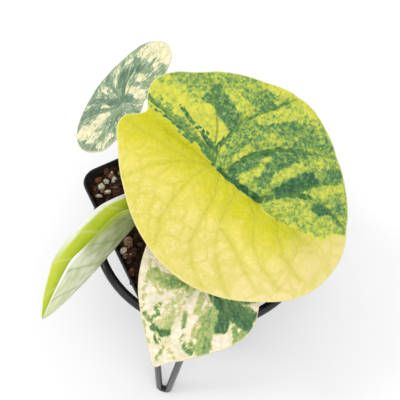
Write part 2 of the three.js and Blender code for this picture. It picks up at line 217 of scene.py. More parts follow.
def make_piece(name, points_mm, faces, paint, replaces, fields=None, smooth=True, indices=None):
    """A finished piece: mesh from points in millimetres, riding on the part."""
    mesh = bpy.data.meshes.new(name)
    points = np.asarray(points_mm, float) * MM + AXIS
    mesh.from_pydata(points.tolist(), [], faces)
    for field_name, values in (fields or {}).items():
        layer = mesh.attributes.new(field_name, "FLOAT_VECTOR", "POINT")
        layer.data.foreach_set("vector", np.asarray(values, np.float32).ravel())
    mesh.polygons.foreach_set("use_smooth", [smooth] * len(mesh.polygons))
    for item in paint if isinstance(paint, list) else [paint]:
        mesh.materials.append(item.material)
    if indices is not None:
        mesh.polygons.foreach_set("material_index", indices)
    mesh.update()
    piece = bpy.data.objects.new(name, mesh)
    bpy.context.scene.collection.objects.link(piece)
    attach(piece, "root")
    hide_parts(replaces)
    return piece


def join_parts(parts):
    """Several (points, faces) as one, with the number of faces that each has."""
    points, faces, counts, base = [], [], [], 0
    for part_points, part_faces in parts:
        points.append(np.asarray(part_points, float))
        faces.extend(tuple(base + i for i in face) for face in part_faces)
        counts.append(len(part_faces))
        base += len(part_points)
    return np.concatenate(points), faces, counts


def loft(loops):
    """Loops of equal length, skinned with quads and closed at both ends."""
    count = len(loops[0])
    points = np.concatenate([np.asarray(loop, float) for loop in loops])
    faces = []
    for k in range(len(loops) - 1):
        for i in range(count):
            j = (i + 1) % count
            faces.append((k * count + i, k * count + j, (k + 1) * count + j, (k + 1) * count + i))
    faces.append(tuple(range(count))[::-1])
    faces.append(tuple((len(loops) - 1) * count + i for i in range(count)))
    return points, faces


def unit(vectors):
    """Vectors of length one. One without a length stays nothing."""
    vectors = np.asarray(vectors, float)
    return vectors / np.maximum(np.linalg.norm(vectors, axis=-1, keepdims=True), 1e-9)


def full_turn(count):
    return np.linspace(0, 2 * math.pi, count, endpoint=False)


def polar(radius, azimuth, z):
    """A point round the axis, its azimuth in degrees from the front."""
    angle = math.radians(azimuth)
    return np.array([radius * math.sin(angle), -radius * math.cos(angle), z])


def turn_matrix(angle, first, second):
    """A turn in space that carries one axis towards another."""
    matrix = np.eye(3)
    matrix[first, first] = matrix[second, second] = math.cos(angle)
    matrix[first, second] = -math.sin(angle)
    matrix[second, first] = math.sin(angle)
    return matrix


def rounded_square(half, corner, z, per_corner, yaw):
    """A level square loop with round corners, turned by yaw."""
    loop = []
    for quarter in range(4):
        base = math.radians(90 * quarter)
        cx = (half - corner) * (math.cos(base) - math.sin(base))
        cy = (half - corner) * (math.sin(base) + math.cos(base))
        for turn in np.linspace(0, 90, per_corner):
            angle = math.radians(90 * quarter + turn)
            loop.append((cx + corner * math.cos(angle), cy + corner * math.sin(angle), z))
    return np.array(loop) @ turn_matrix(yaw, 0, 1).T


def tube(path, radii, sides=20):
    """A round tube along a path, its sections turned as little as they can be."""
    path = np.asarray(path, float)
    ahead = unit(np.gradient(path, axis=0))
    side = np.cross(ahead[0], (0, 0, 1))
    if np.linalg.norm(side) < 0.1:
        side = np.cross(ahead[0], (1, 0, 0))
    turns = full_turn(sides)
    loops = []
    for point, forward, radius in zip(path, ahead, radii):
        side = unit(side - forward * side.dot(forward))
        other = np.cross(forward, side)
        loops.append(point + radius * (np.outer(np.cos(turns), side) + np.outer(np.sin(turns), other)))
    return loft(loops)


def evenly(line, count):
    """A line of points again, as so many points at equal distances."""
    along = np.concatenate([[0], np.cumsum(np.linalg.norm(np.diff(line, axis=0), axis=1))])
    places = np.linspace(0, along[-1], count)
    return np.column_stack([np.interp(places, along, line[:, i]) for i in range(line.shape[1])])


def curve_through(points, count, fineness=40):
    """A smooth line through the points, as evenly spaced points."""
    points = np.asarray(points, float)
    padded = np.vstack([2 * points[0] - points[1], points, 2 * points[-1] - points[-2]])
    fine = []
    for k in range(1, len(padded) - 2):
        p0, p1, p2, p3 = padded[k - 1:k + 3]
        x = np.linspace(0, 1, fineness, endpoint=k == len(padded) - 3)[:, None]
        fine.append(0.5 * (2 * p1 + (p2 - p0) * x + (2 * p0 - 5 * p1 + 4 * p2 - p3) * x ** 2
                           + (3 * p1 - p0 - 3 * p2 + p3) * x ** 3))
    return evenly(np.concatenate(fine), count)


def bezier(a, b, c, d, count):
    x = np.linspace(0, 1, count)[:, None]
    return (1 - x) ** 3 * a + 3 * (1 - x) ** 2 * x * b + 3 * (1 - x) * x ** 2 * c + x ** 3 * d


def smoothstep(x, low, high):
    share = np.clip((x - low) / (high - low), 0, 1)
    return share * share * (3 - 2 * share)


def bell(x, width):
    """One at nought, falling smoothly to nothing over about twice the width."""
    return np.exp(-(x / width) ** 2)


def line_distance(s, t, line):
    """Distance of every point (s, t) to a broken line, and how far along it, from 0 to 1."""
    best = np.full(s.shape, np.inf)
    along = np.zeros(s.shape)
    pieces = len(line) - 1
    for k in range(pieces):
        (ax, ay), (bx, by) = line[k], line[k + 1]
        dx, dy = bx - ax, by - ay
        share = np.clip(((s - ax) * dx + (t - ay) * dy) / (dx * dx + dy * dy), 0, 1)
        distance = np.hypot(s - ax - share * dx, t - ay - share * dy)
        nearer = distance < best
        best = np.where(nearer, distance, best)
        along = np.where(nearer, (k + share) / pieces, along)
    return best, along


# Sizes and colours


class PotSettings(bpy.types.PropertyGroup):
    yaw: FloatProperty(name="Turn", description="How far the pot is turned about its axis",
                       default=math.radians(27.6), subtype="ANGLE")
    rim: FloatProperty(name="Rim height", description="Top of the rim above the floor", default=125 * MM,
                       min=122 * MM, unit="LENGTH", precision=4)
    half: FloatProperty(name="Half width", description="Half the width across the rim", default=51 * MM,
                        min=50.8 * MM, unit="LENGTH", precision=4)
    wall: FloatProperty(name="Wall", description="Thickness of the wall", default=1.2 * MM,
                        min=0.5 * MM, unit="LENGTH", precision=4)
    colour: FloatVectorProperty(name="Plastic", description="Colour of the pot", default=linear("#1b1d22"),
                                subtype="COLOR")


class MixSettings(bpy.types.PropertyGroup):
    top: FloatProperty(name="Mix height", description="Top of the potting mix above the floor",
                       default=120.2 * MM, min=119.6 * MM, unit="LENGTH", precision=4)
    chips: IntProperty(name="Bark chips", description="Number of bark chips on the mix", default=1100, min=0)
    grains: IntProperty(name="Perlite grains", description="Number of pale grains on the mix", default=26,
                        min=0)
    seed: IntProperty(name="Seed", description="Changes where the chips and grains lie", default=5, min=0)


class StandSettings(bpy.types.PropertyGroup):
    ring_rod: FloatProperty(name="Ring wire", description="Thickness of the ring's wire", default=4.8 * MM,
                            min=1 * MM, unit="LENGTH", precision=4)
    leg_rod: FloatProperty(name="Leg wire", description="Thickness of the legs' wire", default=4.2 * MM,
                           min=1 * MM, unit="LENGTH", precision=4)
    ring_radius: FloatProperty(name="Ring radius", description="From the axis to the middle of the wire",
                               default=58.6 * MM, min=50 * MM, unit="LENGTH", precision=4)
    colour: FloatVectorProperty(name="Coating", description="Colour of the powder coat",
                                default=linear("#17181b"), subtype="COLOR")


class LeafSettings(bpy.types.PropertyGroup):
    chartreuse: FloatVectorProperty(name="Chartreuse", description="Pale half of the big leaf by its midrib",
                                    default=linear("#c6c500"), subtype="COLOR")
    butter: FloatVectorProperty(name="Butter yellow", description="Pale half of the big leaf by its edge",
                                default=linear("#e9d782"), subtype="COLOR")
    deep_green: FloatVectorProperty(name="Deep green",
                                    description="Darkest patches of the big leaf and the front leaf",
                                    default=linear("#2f5a35"), subtype="COLOR")
    cream: FloatVectorProperty(name="Cream", description="Thin pale rim of the smaller leaves",
                               default=linear("#efe2b8"), subtype="COLOR")
    thickness: FloatProperty(name="Blade thickness", description="Thickness of the leaf blades",
                             default=0.8 * MM, min=0.3 * MM, unit="LENGTH", precision=4)


class StageSettings(bpy.types.PropertyGroup):
    floor: FloatVectorProperty(name="Floor", description="Colour of the floor", default=(0.95, 0.95, 0.952),
                               subtype="COLOR")
    window: FloatProperty(name="Window light", description="Power of the soft light from the left",
                          default=6.0, min=0, unit="POWER")
    ceiling: FloatProperty(name="Ceiling light", description="Power of the soft light from above",
                           default=7.0, min=0, unit="POWER")
    fill: FloatProperty(name="Room light", description="Strength of the light from all round", default=0.96,
                        min=0)


def millimetres(settings, *names):
    """Sizes that the settings hold in metres, in millimetres."""
    return [round(getattr(settings, name) / MM, 4) for name in names]


# Leaves

# A leaf lies in a plane through the end of its stalk: s runs across it and t towards its tip, in millimetres.
# An outline is (degrees from the tip, radius), a vein (line, depth of its groove, half width), a brush
# (line, half width, how green), near and far the swell of each half (height, start, reach), rise where that
# swell begins and ends along t, and green_side (t, s) the line that the green ends at.

BIG = {
    "piece": "big_leaf", "node": "leaf_big", "origin": (5.3, 3.1, 165), "tip": (0.783, -0.513, -0.351),
    "normal": (0.22, -0.3, 0.93),
    "outline": [
        (0, 77.5), (13, 75.5), (24, 71), (34, 66), (55, 58.8), (66, 55.8), (78, 52.4), (99, 47.5),
        (124, 44.4), (140, 44.8), (154, 46.5), (165, 49.5), (172, 48.5), (178, 43), (183, 42), (190, 47),
        (197, 50.5), (204, 51), (212, 50), (222, 47.5), (237, 48), (250, 49.5), (264, 52), (279, 58),
        (291, 61.5), (304, 63), (323, 66.5), (342, 73), (352, 76.5),
    ],
    "droop": (0.0012, 0.0012), "near": (6.5, 5, 34), "far": (3.8, 7, 38), "rise": (-46, -26, 46, 76),
    "funnel": (0, 8),
    "veins": [
        ([(0, -2), (-8, -4), (-18, -4), (-28, -3), (-35, 1), (-42, 5), (-50, 9), (-56, 12)], 1.7, 3.2),
        ([(-1, 4), (-8, 7), (-15, 9), (-22, 15), (-28, 20), (-33, 27), (-38, 34), (-42, 42), (-47, 48)],
         2.0, 3.4),
        ([(0, 25), (-5, 29), (-10, 34), (-15, 40), (-18, 46), (-20, 53), (-20, 62), (-19, 72)], 1.9, 3.0),
        ([(-12, 37), (-20, 41), (-28, 47), (-34, 54)], 1.0, 2.6),
        ([(-1, -3), (-4, -10), (-5, -20), (-6, -32), (-8, -47)], 1.2, 2.4),
        ([(-1, -3), (-8, -7), (-14, -10), (-22, -16), (-31, -25), (-37, -32)], 1.1, 3.0),
        ([(2, -4), (6, -12), (8, -28), (8, -47)], 0.6, 2.6),
        ([(2, -4), (9, -14), (18, -23), (31, -31)], 0.5, 2.8),
        ([(2, -3), (12, -6), (24, -7), (36, -6), (46, -1)], 0.7, 3.2),
        ([(2, 3), (12, 7), (24, 9), (35, 11), (43, 18), (48, 28)], 0.7, 3.4),
        ([(2, 14), (12, 15), (22, 17), (31, 22), (39, 31), (44, 40)], 0.7, 3.4),
        ([(22, 17), (25, 27), (30, 38), (34, 49)], 0.5, 2.8),
        ([(2, 27), (10, 29), (18, 34), (24, 43), (27, 58)], 0.7, 3.4),
        ([(1, 38), (8, 42), (14, 50), (17, 65)], 0.6, 3.0),
    ],
    "cell": 9.5, "quilt": 1.0,
    "brushes": [
        ([(-14, -44), (-16, -30), (-16, -18), (-13, -8)], 8, 0.17),
        ([(-21, -45), (-24, -32), (-22, -27)], 4.5, 0.36), ([(-27, -40), (-30, -27)], 5, 0.52),
        ([(-32, -16), (-34, -6), (-36, 0)], 4, 0.3), ([(-42, -26), (-47, -15), (-51, -7)], 4, 0.5),
        ([(-24, -22), (-32, -22)], 2.8, 0.74), ([(-27, -20), (-25, -12), (-23, -7)], 5.2, 0.72),
        ([(-40, -5), (-48, 0)], 3.6, 0.62), ([(-53, -4), (-57, 8), (-56, 22)], 4.5, 0.24),
        ([(-14, 0), (-24, 3), (-33, 7)], 5, 0.58), ([(-4, 0.5), (-9, 2)], 1.5, 0.58),
        ([(-8, 5), (-17, 6.5)], 1.7, 0.28), ([(-34, 4), (-42, 10), (-50, 18)], 3.4, 0.34),
        ([(-36, -1), (-44, 4)], 1.6, 0.66), ([(-34, 12), (-40, 18), (-47, 27)], 3.6, 0.64),
        ([(-28, 12), (-32, 17)], 2, 0.36), ([(-4, 9), (-12, 11), (-20, 17), (-25, 23)], 3.4, 0.72),
        ([(-3, 13), (-10, 17), (-18, 18)], 2.6, 0.34),
        ([(-8, 22), (-17, 21), (-27, 26), (-32, 31)], 3.2, 0.7),
        ([(-13, 26), (-22, 30), (-28, 34)], 2.2, 0.33), ([(-37, 24), (-43, 32), (-46, 39)], 3.4, 0.6),
        ([(-30, 33), (-35, 40)], 2.4, 0.4), ([(-26, 38), (-32, 46)], 3.6, 0.56),
        ([(-32, 48), (-38, 51)], 2.6, 0.74), ([(-7, 32), (-14, 35), (-24, 40)], 4.6, 0.94),
        ([(-20, 47), (-26, 51), (-33, 56)], 2.8, 0.33), ([(-3, 33), (-7, 46), (-11, 58)], 6.5, 0.42),
        ([(-15.5, 50.5), (-16.5, 54)], 2.8, 0.86), ([(-24, 59), (-26, 66)], 3.4, 0.62),
        ([(-16, 60), (-15, 66)], 1.4, 0.35),
        ([(-7.5, -46), (-7, -36), (-5.8, -26), (-4.6, -14), (-2, -5)], 1.7, 0.62),
        ([(-9.8, -44), (-9, -34)], 1.4, 0.5), ([(-4.2, -44), (-4, -26), (-3.4, -12), (-1, -2)], 0.8, 0.8),
        ([(-12.6, -30.5), (-10, -24), (-8.6, -15), (-6, -8)], 1.1, 0.78),
        ([(-2.6, -24), (-2.2, -16)], 0.7, 0.7), ([(-2, -4), (-6, -8), (-10, -13)], 0.9, 0.84),
        ([(-2, -3), (-7, -5), (-13, -5)], 1.1, 0.84), ([(-1, -3), (-5, -6.5), (-10, -9)], 1.2, 0.7),
        # From here to the end of the list, the thin dark strokes follow the veins and the midrib: painted
        # shade in their grooves
        ([(0, -2), (-8, -4.6), (-19, -4)], 0.8, 0.8), ([(-30, -1), (-35, 1), (-42, 5), (-50, 9)], 0.8, 0.8),
        ([(-4, 6), (-12, 8), (-20, 14), (-28, 20), (-33, 27), (-38, 35)], 1.3, 0.9),
        ([(0, 25), (-5, 29), (-10, 34), (-15, 40), (-18, 46)], 1.2, 0.86),
        ([(-14, 38), (-22, 42), (-28, 47)], 1.2, 0.8), ([(-17.5, 52), (-19, 58)], 1.7, 0.86),
        ([(-19.5, 60), (-18.5, 70)], 0.8, 0.82), ([(0.4, 2), (0.6, 12), (0.2, 20), (-1, 26)], 1.6, 0.92),
    ],
    "green_side": (
        [-50, -36, -26, -16, -5, 0, 25, 50, 60, 66, 74],
        [-6.2, -5.9, -4.8, -3.9, -1.8, 1.0, 0.6, -3, -6, -12, -17],
    ),
    "green_start": 0.48, "sectors": 480, "rings": 92,
}

BACK = {
    "piece": "back_leaf", "node": "leaf_back", "origin": (-44.9, 53.1, 145), "tip": (-0.421, 0.701, -0.576),
    "normal": (-0.71, 0.222, 0.668),
    "outline": [
        (0, 46), (14, 45.5), (30, 44), (47, 44.5), (60, 43.5), (75, 42), (90, 41.5), (106, 40.5), (118, 40),
        (135, 36), (150, 30), (158, 25.5), (167, 28), (180, 30.5), (200, 30), (213, 29.5), (228, 31),
        (251, 30.5), (270, 31.5), (292, 34), (313, 38), (330, 41.5), (345, 44),
    ],
    "droop": (0.0006, 0.0004), "near": (1.5, 6, 30), "far": (1.5, 6, 30), "rise": (-24, -10, 20, 44),
    "funnel": (2.2, 9),
    "veins": [
        ([(2, 2), (12, 11), (22, 22), (30, 30)], 1.4, 2.4), ([(3, 0), (18, 3), (36, 8)], 1.3, 2.4),
        ([(3, -3), (18, -8), (33, -12)], 1.2, 2.4), ([(-2, 2), (-10, 14), (-18, 28)], 1.4, 2.4),
        ([(-3, 0), (-15, 4), (-28, 8)], 1.3, 2.4), ([(-3, -3), (-13, -10), (-22, -17)], 1.2, 2.2),
        ([(1, 2), (5, 16), (8, 34), (8, 43)], 1.0, 2.0), ([(0, 2), (-2, 20), (-4, 43)], 1.3, 2.2),
        ([(2, -3), (7, -14), (11, -26)], 1.2, 2.0), ([(-1, -4), (-4, -14), (-6, -27)], 1.0, 2.0),
    ],
    "cell": 8.0, "quilt": 0.6,
    "brushes": [
        ([(36, -16), (38, 0), (34, 13)], 6.5, 0.04), ([(32, -2), (34, 8)], 4, 0.14),
        ([(26, -13), (30, -6)], 2, 0.12), ([(10, -20), (11, -8), (9, 4)], 2.6, 0.1),
        ([(18, -9), (18, 2)], 2.6, 0.14), ([(12, 6), (20, 8)], 1.2, 0.14),
        ([(-13, 6), (-22, 10), (-26, 20)], 5, 0.06), ([(-20, -4), (-26, 2)], 3.4, 0.14),
        ([(-16, -18), (-22, -14)], 3.2, 0.16), ([(2, 27), (3, 37)], 2.2, 0.18),
        ([(14, 28), (16, 36)], 2.4, 0.2), ([(-8, 3), (-14, 6)], 2.2, 0.1), ([(30, 20), (34, 14)], 3.4, 0.1),
        ([(-6, 30), (-12, 36)], 1.8, 0.16), ([(8, 18), (11, 27)], 1.2, 0.16),
        ([(-4, 10), (-8, 20)], 1.0, 0.18), ([(22, 27), (26, 24)], 2.0, 0.14),
        ([(3, 1), (10, 8), (20, 11)], 2.2, 0.82), ([(22, 3), (26, 20)], 2.6, 0.72),
        ([(10, 12), (17, 21)], 2.6, 0.78), ([(0, 3), (-3, 20), (-9, 37)], 2.4, 0.78),
        ([(-9, 18), (-17, 32), (-24, 30)], 3.0, 0.74), ([(4, -2), (6, -11)], 2, 0.78),
        ([(-2, -9), (-12, -12)], 2.6, 0.7), ([(27, -5), (30, -4)], 1.6, 0.65),
        ([(-26, -8), (-30, 4)], 2, 0.6), ([(6, 34), (10, 42)], 2, 0.66),
        ([(3, -1), (16, 2), (30, 3)], 0.9, 0.8),
    ],
    "green_side": ([-60, 60], [99, 99]), "green_start": 0.5, "sectors": 320, "rings": 56,
    "greens": [
        (0.2, "#d3d9b0"), (0.36, "#acbd92"), (0.52, "#86a07a"), (0.7, "#67856a"), (0.95, "#4c6c54"),
    ],
    "ground": "#f9f2da", "warm": "#f0e398", "ribs": "#5a7a5c", "radial": 1.6, "bare": 0.22,
}

FRONT = {
    "piece": "front_leaf", "node": "leaf_front", "origin": (3.5, -34.2, 139),
    "tip": (-0.488, -0.833, -0.261), "normal": (0.116, -0.36, 0.926),
    "outline": [
        (0, 56), (4.5, 52), (13, 46.5), (27, 40.7), (40, 37.4), (56, 34.3), (71, 32.5), (90, 31.5),
        (110, 31), (130, 31), (150, 31), (170, 28), (180, 23), (190, 28), (205, 30), (225, 29), (245, 28),
        (265, 28.5), (283, 31), (294, 35.5), (306, 39), (317, 40.5), (335, 43.8), (348.5, 48.6),
        (355.5, 52),
    ],
    "droop": (0.001, 0.0008), "near": (1.6, 4, 24), "far": (1.6, 4, 24), "rise": (-24, -10, 30, 54),
    "funnel": (1, 7),
    "veins": [
        ([(0, 2), (0.5, 20), (0, 40), (0, 54)], 1.0, 1.8),
        ([(1, 2), (10, 8), (20, 13), (29, 16)], 0.9, 2.4),
        ([(0.4, 17), (8, 24), (16, 31), (22, 36)], 0.9, 2.2), ([(0, 30), (6, 36), (11, 42)], 0.7, 1.8),
        ([(-1, 2), (-7, 12), (-13, 23), (-16, 32), (-18, 40)], 1.0, 2.2),
        ([(-2, 0), (-14, 5), (-28, 12)], 0.9, 2.4), ([(0, 26), (-5, 34), (-9, 43)], 0.7, 1.8),
        ([(2, -2), (12, -9), (20, -18)], 0.8, 2.2), ([(-2, -2), (-12, -9), (-20, -18)], 0.8, 2.2),
    ],
    "cell": 8.0, "quilt": 0.6,
    "brushes": [
        ([(26, 13), (23, 22), (20, 31)], 1.0, 0.34), ([(21, 19), (12, 18), (4, 15)], 3.8, 0.5),
        ([(12, 17), (8, 17)], 1.8, 0.66), ([(20, 22), (14, 24)], 1.6, 0.3),
        ([(3, 13), (1.5, 18)], 1.4, 0.34), ([(6, 22), (5.5, 31), (5, 38)], 3.6, 0.27),
        ([(5, 33), (3, 39)], 2.0, 0.4), ([(2, 20), (2, 30)], 0.9, 0.3),
        ([(12, 29.5), (12.6, 32), (10, 33.5), (12, 36)], 1.1, 0.74),
        ([(16, 36), (13, 38), (10, 38)], 1.0, 0.7), ([(18.5, 33), (19, 36)], 0.7, 0.6),
        ([(15, 40), (12, 44), (8, 47)], 1.1, 0.45), ([(9.5, 40), (6, 41), (2, 39)], 1.6, 0.9),
        ([(8, 42), (4, 44.5)], 1.5, 0.8), ([(7, 41.6), (5, 42.6)], 0.8, 0.3),
        ([(0.6, 46), (0.4, 52)], 0.9, 0.6), ([(-2, 46), (-7, 47.6)], 0.9, 0.4),
        ([(-9, 12.5), (-15, 16), (-18, 24)], 4.0, 0.92), ([(-19, 13), (-30, 13)], 3.0, 0.86),
        ([(-22, 17), (-30, 18)], 3.2, 0.9), ([(-30, 22), (-28.5, 28)], 1.9, 0.55),
        ([(-25, 22), (-27, 25)], 1.6, 0.6), ([(-12, 12), (-20, 11.5)], 1.3, 0.62),
        ([(-11, 22), (-13.5, 31), (-16, 38)], 4.4, 0.52), ([(-16, 33), (-18, 39)], 1.6, 0.66),
        ([(-3.5, 16), (-5, 24)], 2.0, 0.42), ([(-7, 17), (-8, 23)], 0.9, 0.3),
        ([(-0.6, 27), (-3, 33)], 1.1, 0.8), ([(-4.5, 37), (-8, 41.5), (-12.5, 42)], 1.1, 0.8),
        ([(-9, 38), (-12, 40)], 1.4, 0.6), ([(-8, 28), (-9, 34)], 1.6, 0.36), ([(-8, 2), (-22, 4)], 6, 0.8),
        ([(-16, -12), (-10, -20)], 5, 0.4), ([(12, 2), (22, -6)], 4, 0.62), ([(6, -12), (14, -22)], 3, 0.4),
    ],
    "green_side": ([-60, 60], [-99, -99]), "green_start": 0.5, "sectors": 320, "rings": 56,
    "greens": [
        (0.16, "#e2d9a8"), (0.34, "#cdca88"), (0.5, "#a6b968"), (0.66, "#7a9c58"), (0.82, "#4f7b4a"),
    ],
    "ground": "#fbf1de", "warm": "#f2e3bc", "ribs": "#cbd29c", "radial": 0.5, "bare": 0.16,
}

YOUNG = {
    "keel": [
        (-23, 3, 137.5), (-34, -11, 134.5), (-42, -20.5, 133), (-54, -35, 130.5), (-63, -45, 129),
        (-70, -52, 127.5), (-77.5, -58.4, 126),
    ],
    "near": [
        (-24, 1.5, 142), (-35, -8.5, 145.5), (-43.5, -11.5, 144), (-57.4, -27.1, 141.7),
        (-64.6, -34.4, 139.1), (-72, -47.1, 132.8), (-77.8, -58.2, 126.4),
    ],
    "far": [
        (-25, 5, 143), (-37.5, -1.5, 147.5), (-54, -10.5, 146), (-71, -29.8, 139.2), (-75.4, -41, 134.2),
        (-77.3, -49.8, 130.6), (-78.2, -58, 126.4),
    ],
    "bulge": 0.9, "stations": 200, "across": 96, "stalk_at": 0.16, "normal": (-0.35, -0.1, 0.93),
    "length": 80, "half": 14, "full_bulge": 9, "full_width": 4, "veins": 5.2, "first_vein": 0.3,
    "vein_width": 0.05, "vein_depth": 0.2,
    "vein_starts": (0.04, 0.2), "vein_ends": (0.86, 1), "keel_round": 0.07, "thinnest": 0.35,
}


RELIEF = {  # low relief that the leaves share, in millimetres
    "still_centre": 6, "vein_width": 0.55, "vein_fade": 0.55, "cell_width": 3.0, "cell_share": 1.6,
    "cell_wander": 0.3, "wander_size": 1.4, "cell_seed": 4.0, "crease": 0.3, "crease_width": 0.7,
    "lump": 0.2, "lump_size": 4.2, "lump_seed": 3.7, "ring_spread": 0.9, "rim_thins": 0.45, "rim_from": 0.9,
}
MOTTLE = {  # how the brushes' edges wander, in millimetres, and how the thin ones break up
    "size": 5.0, "detail": 5, "reach": 1.5, "full_width": 3, "soft_edge": (0.8, 1.12), "border": (-0.5, 0.8),
    "thin": 1.6, "gap_size": 2.6, "gap_detail": 3, "gap": (-0.36, -0.12), "seeds": (11.0, 23.0, 31.0),
}
RAY_TURN = 14  # the streaks' noise runs along the rays from the stalk: so wide round it, so long outwards
RAY_LENGTH = 0.13


def leaf_axes(leaf):
    """A leaf's origin, and the directions of its tip, its upper face and its near side."""
    tip = unit(leaf["tip"])
    normal = np.asarray(leaf["normal"], float)
    normal = unit(normal - tip * normal.dot(tip))
    return np.array(leaf["origin"], float), tip, normal, np.cross(tip, normal)


def outline_radius(outline, degrees):
    """Smooth closed outline through the radii, as in the solid."""
    angles, radii = np.array(outline, float).T
    angles = np.concatenate([angles[-2:] - 360, angles, angles[:3] + 360])
    radii = np.concatenate([radii[-2:], radii, radii[:3]])
    k = np.clip(np.searchsorted(angles, degrees, side="right") - 1, 1, len(angles) - 3)
    a0, a1, a2, a3 = (angles[k + i] for i in (-1, 0, 1, 2))
    r0, r1, r2, r3 = (radii[k + i] for i in (-1, 0, 1, 2))
    x = (degrees - a1) / (a2 - a1)
    m1 = (r2 - r0) / (a2 - a0) * (a2 - a1)
    m2 = (r3 - r1) / (a3 - a1) * (a2 - a1)
    return ((2 * x ** 3 - 3 * x ** 2 + 1) * r1 + (x ** 3 - 2 * x ** 2 + x) * m1
            + (-2 * x ** 3 + 3 * x ** 2) * r2 + (x ** 3 - x ** 2) * m2)


def ripples(s, t, size, seed, octaves=2):
    """Smooth random field over a plane, from -1 to 1, with features of about the given size."""
    places = (Vector((a / size, b / size, seed)) for a, b in zip(s, t))
    return np.array([noise.fractal(place, 1.0, 2.0, octaves) for place in places])


def cell_borders(s, t, size, seed):
    """How far each point of the leaf plane is from the borders of irregular cells, in millimetres."""
    reach, spread = RELIEF["cell_wander"] * size, RELIEF["wander_size"] * size
    wander_s = s + reach * ripples(s, t, spread, seed)
    wander_t = t + reach * ripples(s, t, spread, seed + 5)
    borders = []
    for a, b in zip(wander_s / size, wander_t / size):
        distances, _ = noise.voronoi(Vector((a, b, seed)))
        borders.append(0.5 * size * (distances[1] - distances[0]))
    return np.array(borders)


def leaf_relief(leaf, s, t, edge_share):
    """Height of the upper face over the leaf's plane, and how near each point is to the veins."""
    rise, start, reach = (np.where(s > 0, near, far) for near, far in zip(leaf["near"], leaf["far"]))
    low0, low1, high0, high1 = leaf["rise"]
    along = smoothstep(t, low0, low1) * (1 - smoothstep(t, high0, high1))
    height = rise * (1 - np.exp(-np.abs(s) / start)) * bell(s, reach) * along
    radius = np.hypot(s, t)
    height += leaf["funnel"][0] * (1 - np.exp(-radius / leaf["funnel"][1]))
    height -= leaf["droop"][0] * s ** 2 + leaf["droop"][1] * t ** 2
    open_up = 1 - np.exp(-radius / RELIEF["still_centre"])
    nearest = np.full(s.shape, np.inf)
    groove = np.zeros(s.shape)
    vein = np.zeros(s.shape)
    for line, depth, width in leaf["veins"]:
        distance, share = line_distance(s, t, line)
        fade = 1 - RELIEF["vein_fade"] * share
        groove = np.maximum(groove, depth * fade * bell(distance, width))
        vein = np.maximum(vein, fade * bell(distance, RELIEF["vein_width"]))
        nearest = np.minimum(nearest, distance)
    border = cell_borders(s, t, leaf["cell"], RELIEF["cell_seed"])
    inside = open_up * (1 - edge_share ** 6)
    swell = 1 - bell(np.minimum(nearest, RELIEF["cell_share"] * border), RELIEF["cell_width"])
    height -= groove * open_up
    height += leaf["quilt"] * inside * swell
    height -= RELIEF["crease"] * inside * bell(border, RELIEF["crease_width"])
    height += RELIEF["lump"] * ripples(s, t, RELIEF["lump_size"], RELIEF["lump_seed"]) * inside
    return height, vein, nearest, border


def leaf_green(leaf, s, t):
    """How green each point of a variegated leaf is, from 0 for its pale ground to 1 for deep green."""
    limit = np.interp(t, *leaf["green_side"])
    green = leaf["green_start"] * smoothstep(limit - s, *MOTTLE["border"])
    seed_s, seed_t, seed_gap = MOTTLE["seeds"]
    wander_s = ripples(s, t, MOTTLE["size"], seed_s, MOTTLE["detail"])
    wander_t = ripples(s, t, MOTTLE["size"], seed_t, MOTTLE["detail"])
    broken = smoothstep(ripples(s, t, MOTTLE["gap_size"], seed_gap, MOTTLE["gap_detail"]), *MOTTLE["gap"])
    solid, gone = MOTTLE["soft_edge"]
    for line, width, value in leaf["brushes"]:
        reach = MOTTLE["reach"] * min(1.0, width / MOTTLE["full_width"])
        distance, _ = line_distance(s + reach * wander_s, t + reach * wander_t, line)
        weight = 1 - smoothstep(distance, solid * width, gone * width)
        if width < MOTTLE["thin"]:
            weight = weight * broken
        green = green + (value - green) * weight
    return green


def leaf_mesh(leaf, thickness):
    """A leaf's closed shell in rings about its stalk: points, faces and what its skin reads at each point."""
    origin, tip, normal, across = leaf_axes(leaf)
    sectors, rings = leaf["sectors"], leaf["rings"]
    degrees = np.arange(sectors) * 360 / sectors
    rim = outline_radius(leaf["outline"], degrees)
    shares = (np.arange(1, rings + 1) / rings) ** RELIEF["ring_spread"]
    radius = np.concatenate([[0], np.outer(shares, rim).ravel()])
    angle = np.radians(np.concatenate([[0], np.tile(degrees, rings)]))
    edge_share = np.concatenate([[0], np.repeat(shares, sectors)])
    s, t = radius * np.sin(angle), radius * np.cos(angle)
    height, vein, nearest, border = leaf_relief(leaf, s, t, edge_share)
    to_edge = np.concatenate([[rim[0]], np.tile(rim, rings)]) - radius
    count = 1 + sectors * rings
    thin = thickness * (1 - RELIEF["rim_thins"] * smoothstep(edge_share, RELIEF["rim_from"], 1.0))
    layers = [origin + np.outer(s, across) + np.outer(t, tip) + np.outer(offset, normal)
              for offset in (height, height - thin)]
    faces = []
    for k in range(sectors):
        j = (k + 1) % sectors
        faces.append((0, 1 + j, 1 + k))
        faces.append((count, count + 1 + k, count + 1 + j))
        for ring in range(1, 1 + (rings - 1) * sectors, sectors):
            a, b, c, d = ring + k, ring + sectors + k, ring + sectors + j, ring + j
            faces.append((a, d, c, b))
            faces.append((count + a, count + b, count + c, count + d))
        a, b = 1 + (rings - 1) * sectors + k, 1 + (rings - 1) * sectors + j
        faces.append((a, b, count + b, count + a))
    blank = np.zeros(count)
    columns = {
        "leaf_place": (s, t, nearest),
        "leaf_look": (leaf_green(leaf, s, t), vein, blank),
        "leaf_edge": (to_edge, border, blank),
        "leaf_ray": (RAY_TURN * np.sin(angle), RAY_TURN * np.cos(angle), RAY_LENGTH * radius),
    }
    fields = {name: np.tile(np.column_stack(values), (2, 1)) for name, values in columns.items()}
    fields["leaf_look"][count:, 2] = 1
    return np.concatenate(layers), faces, fields


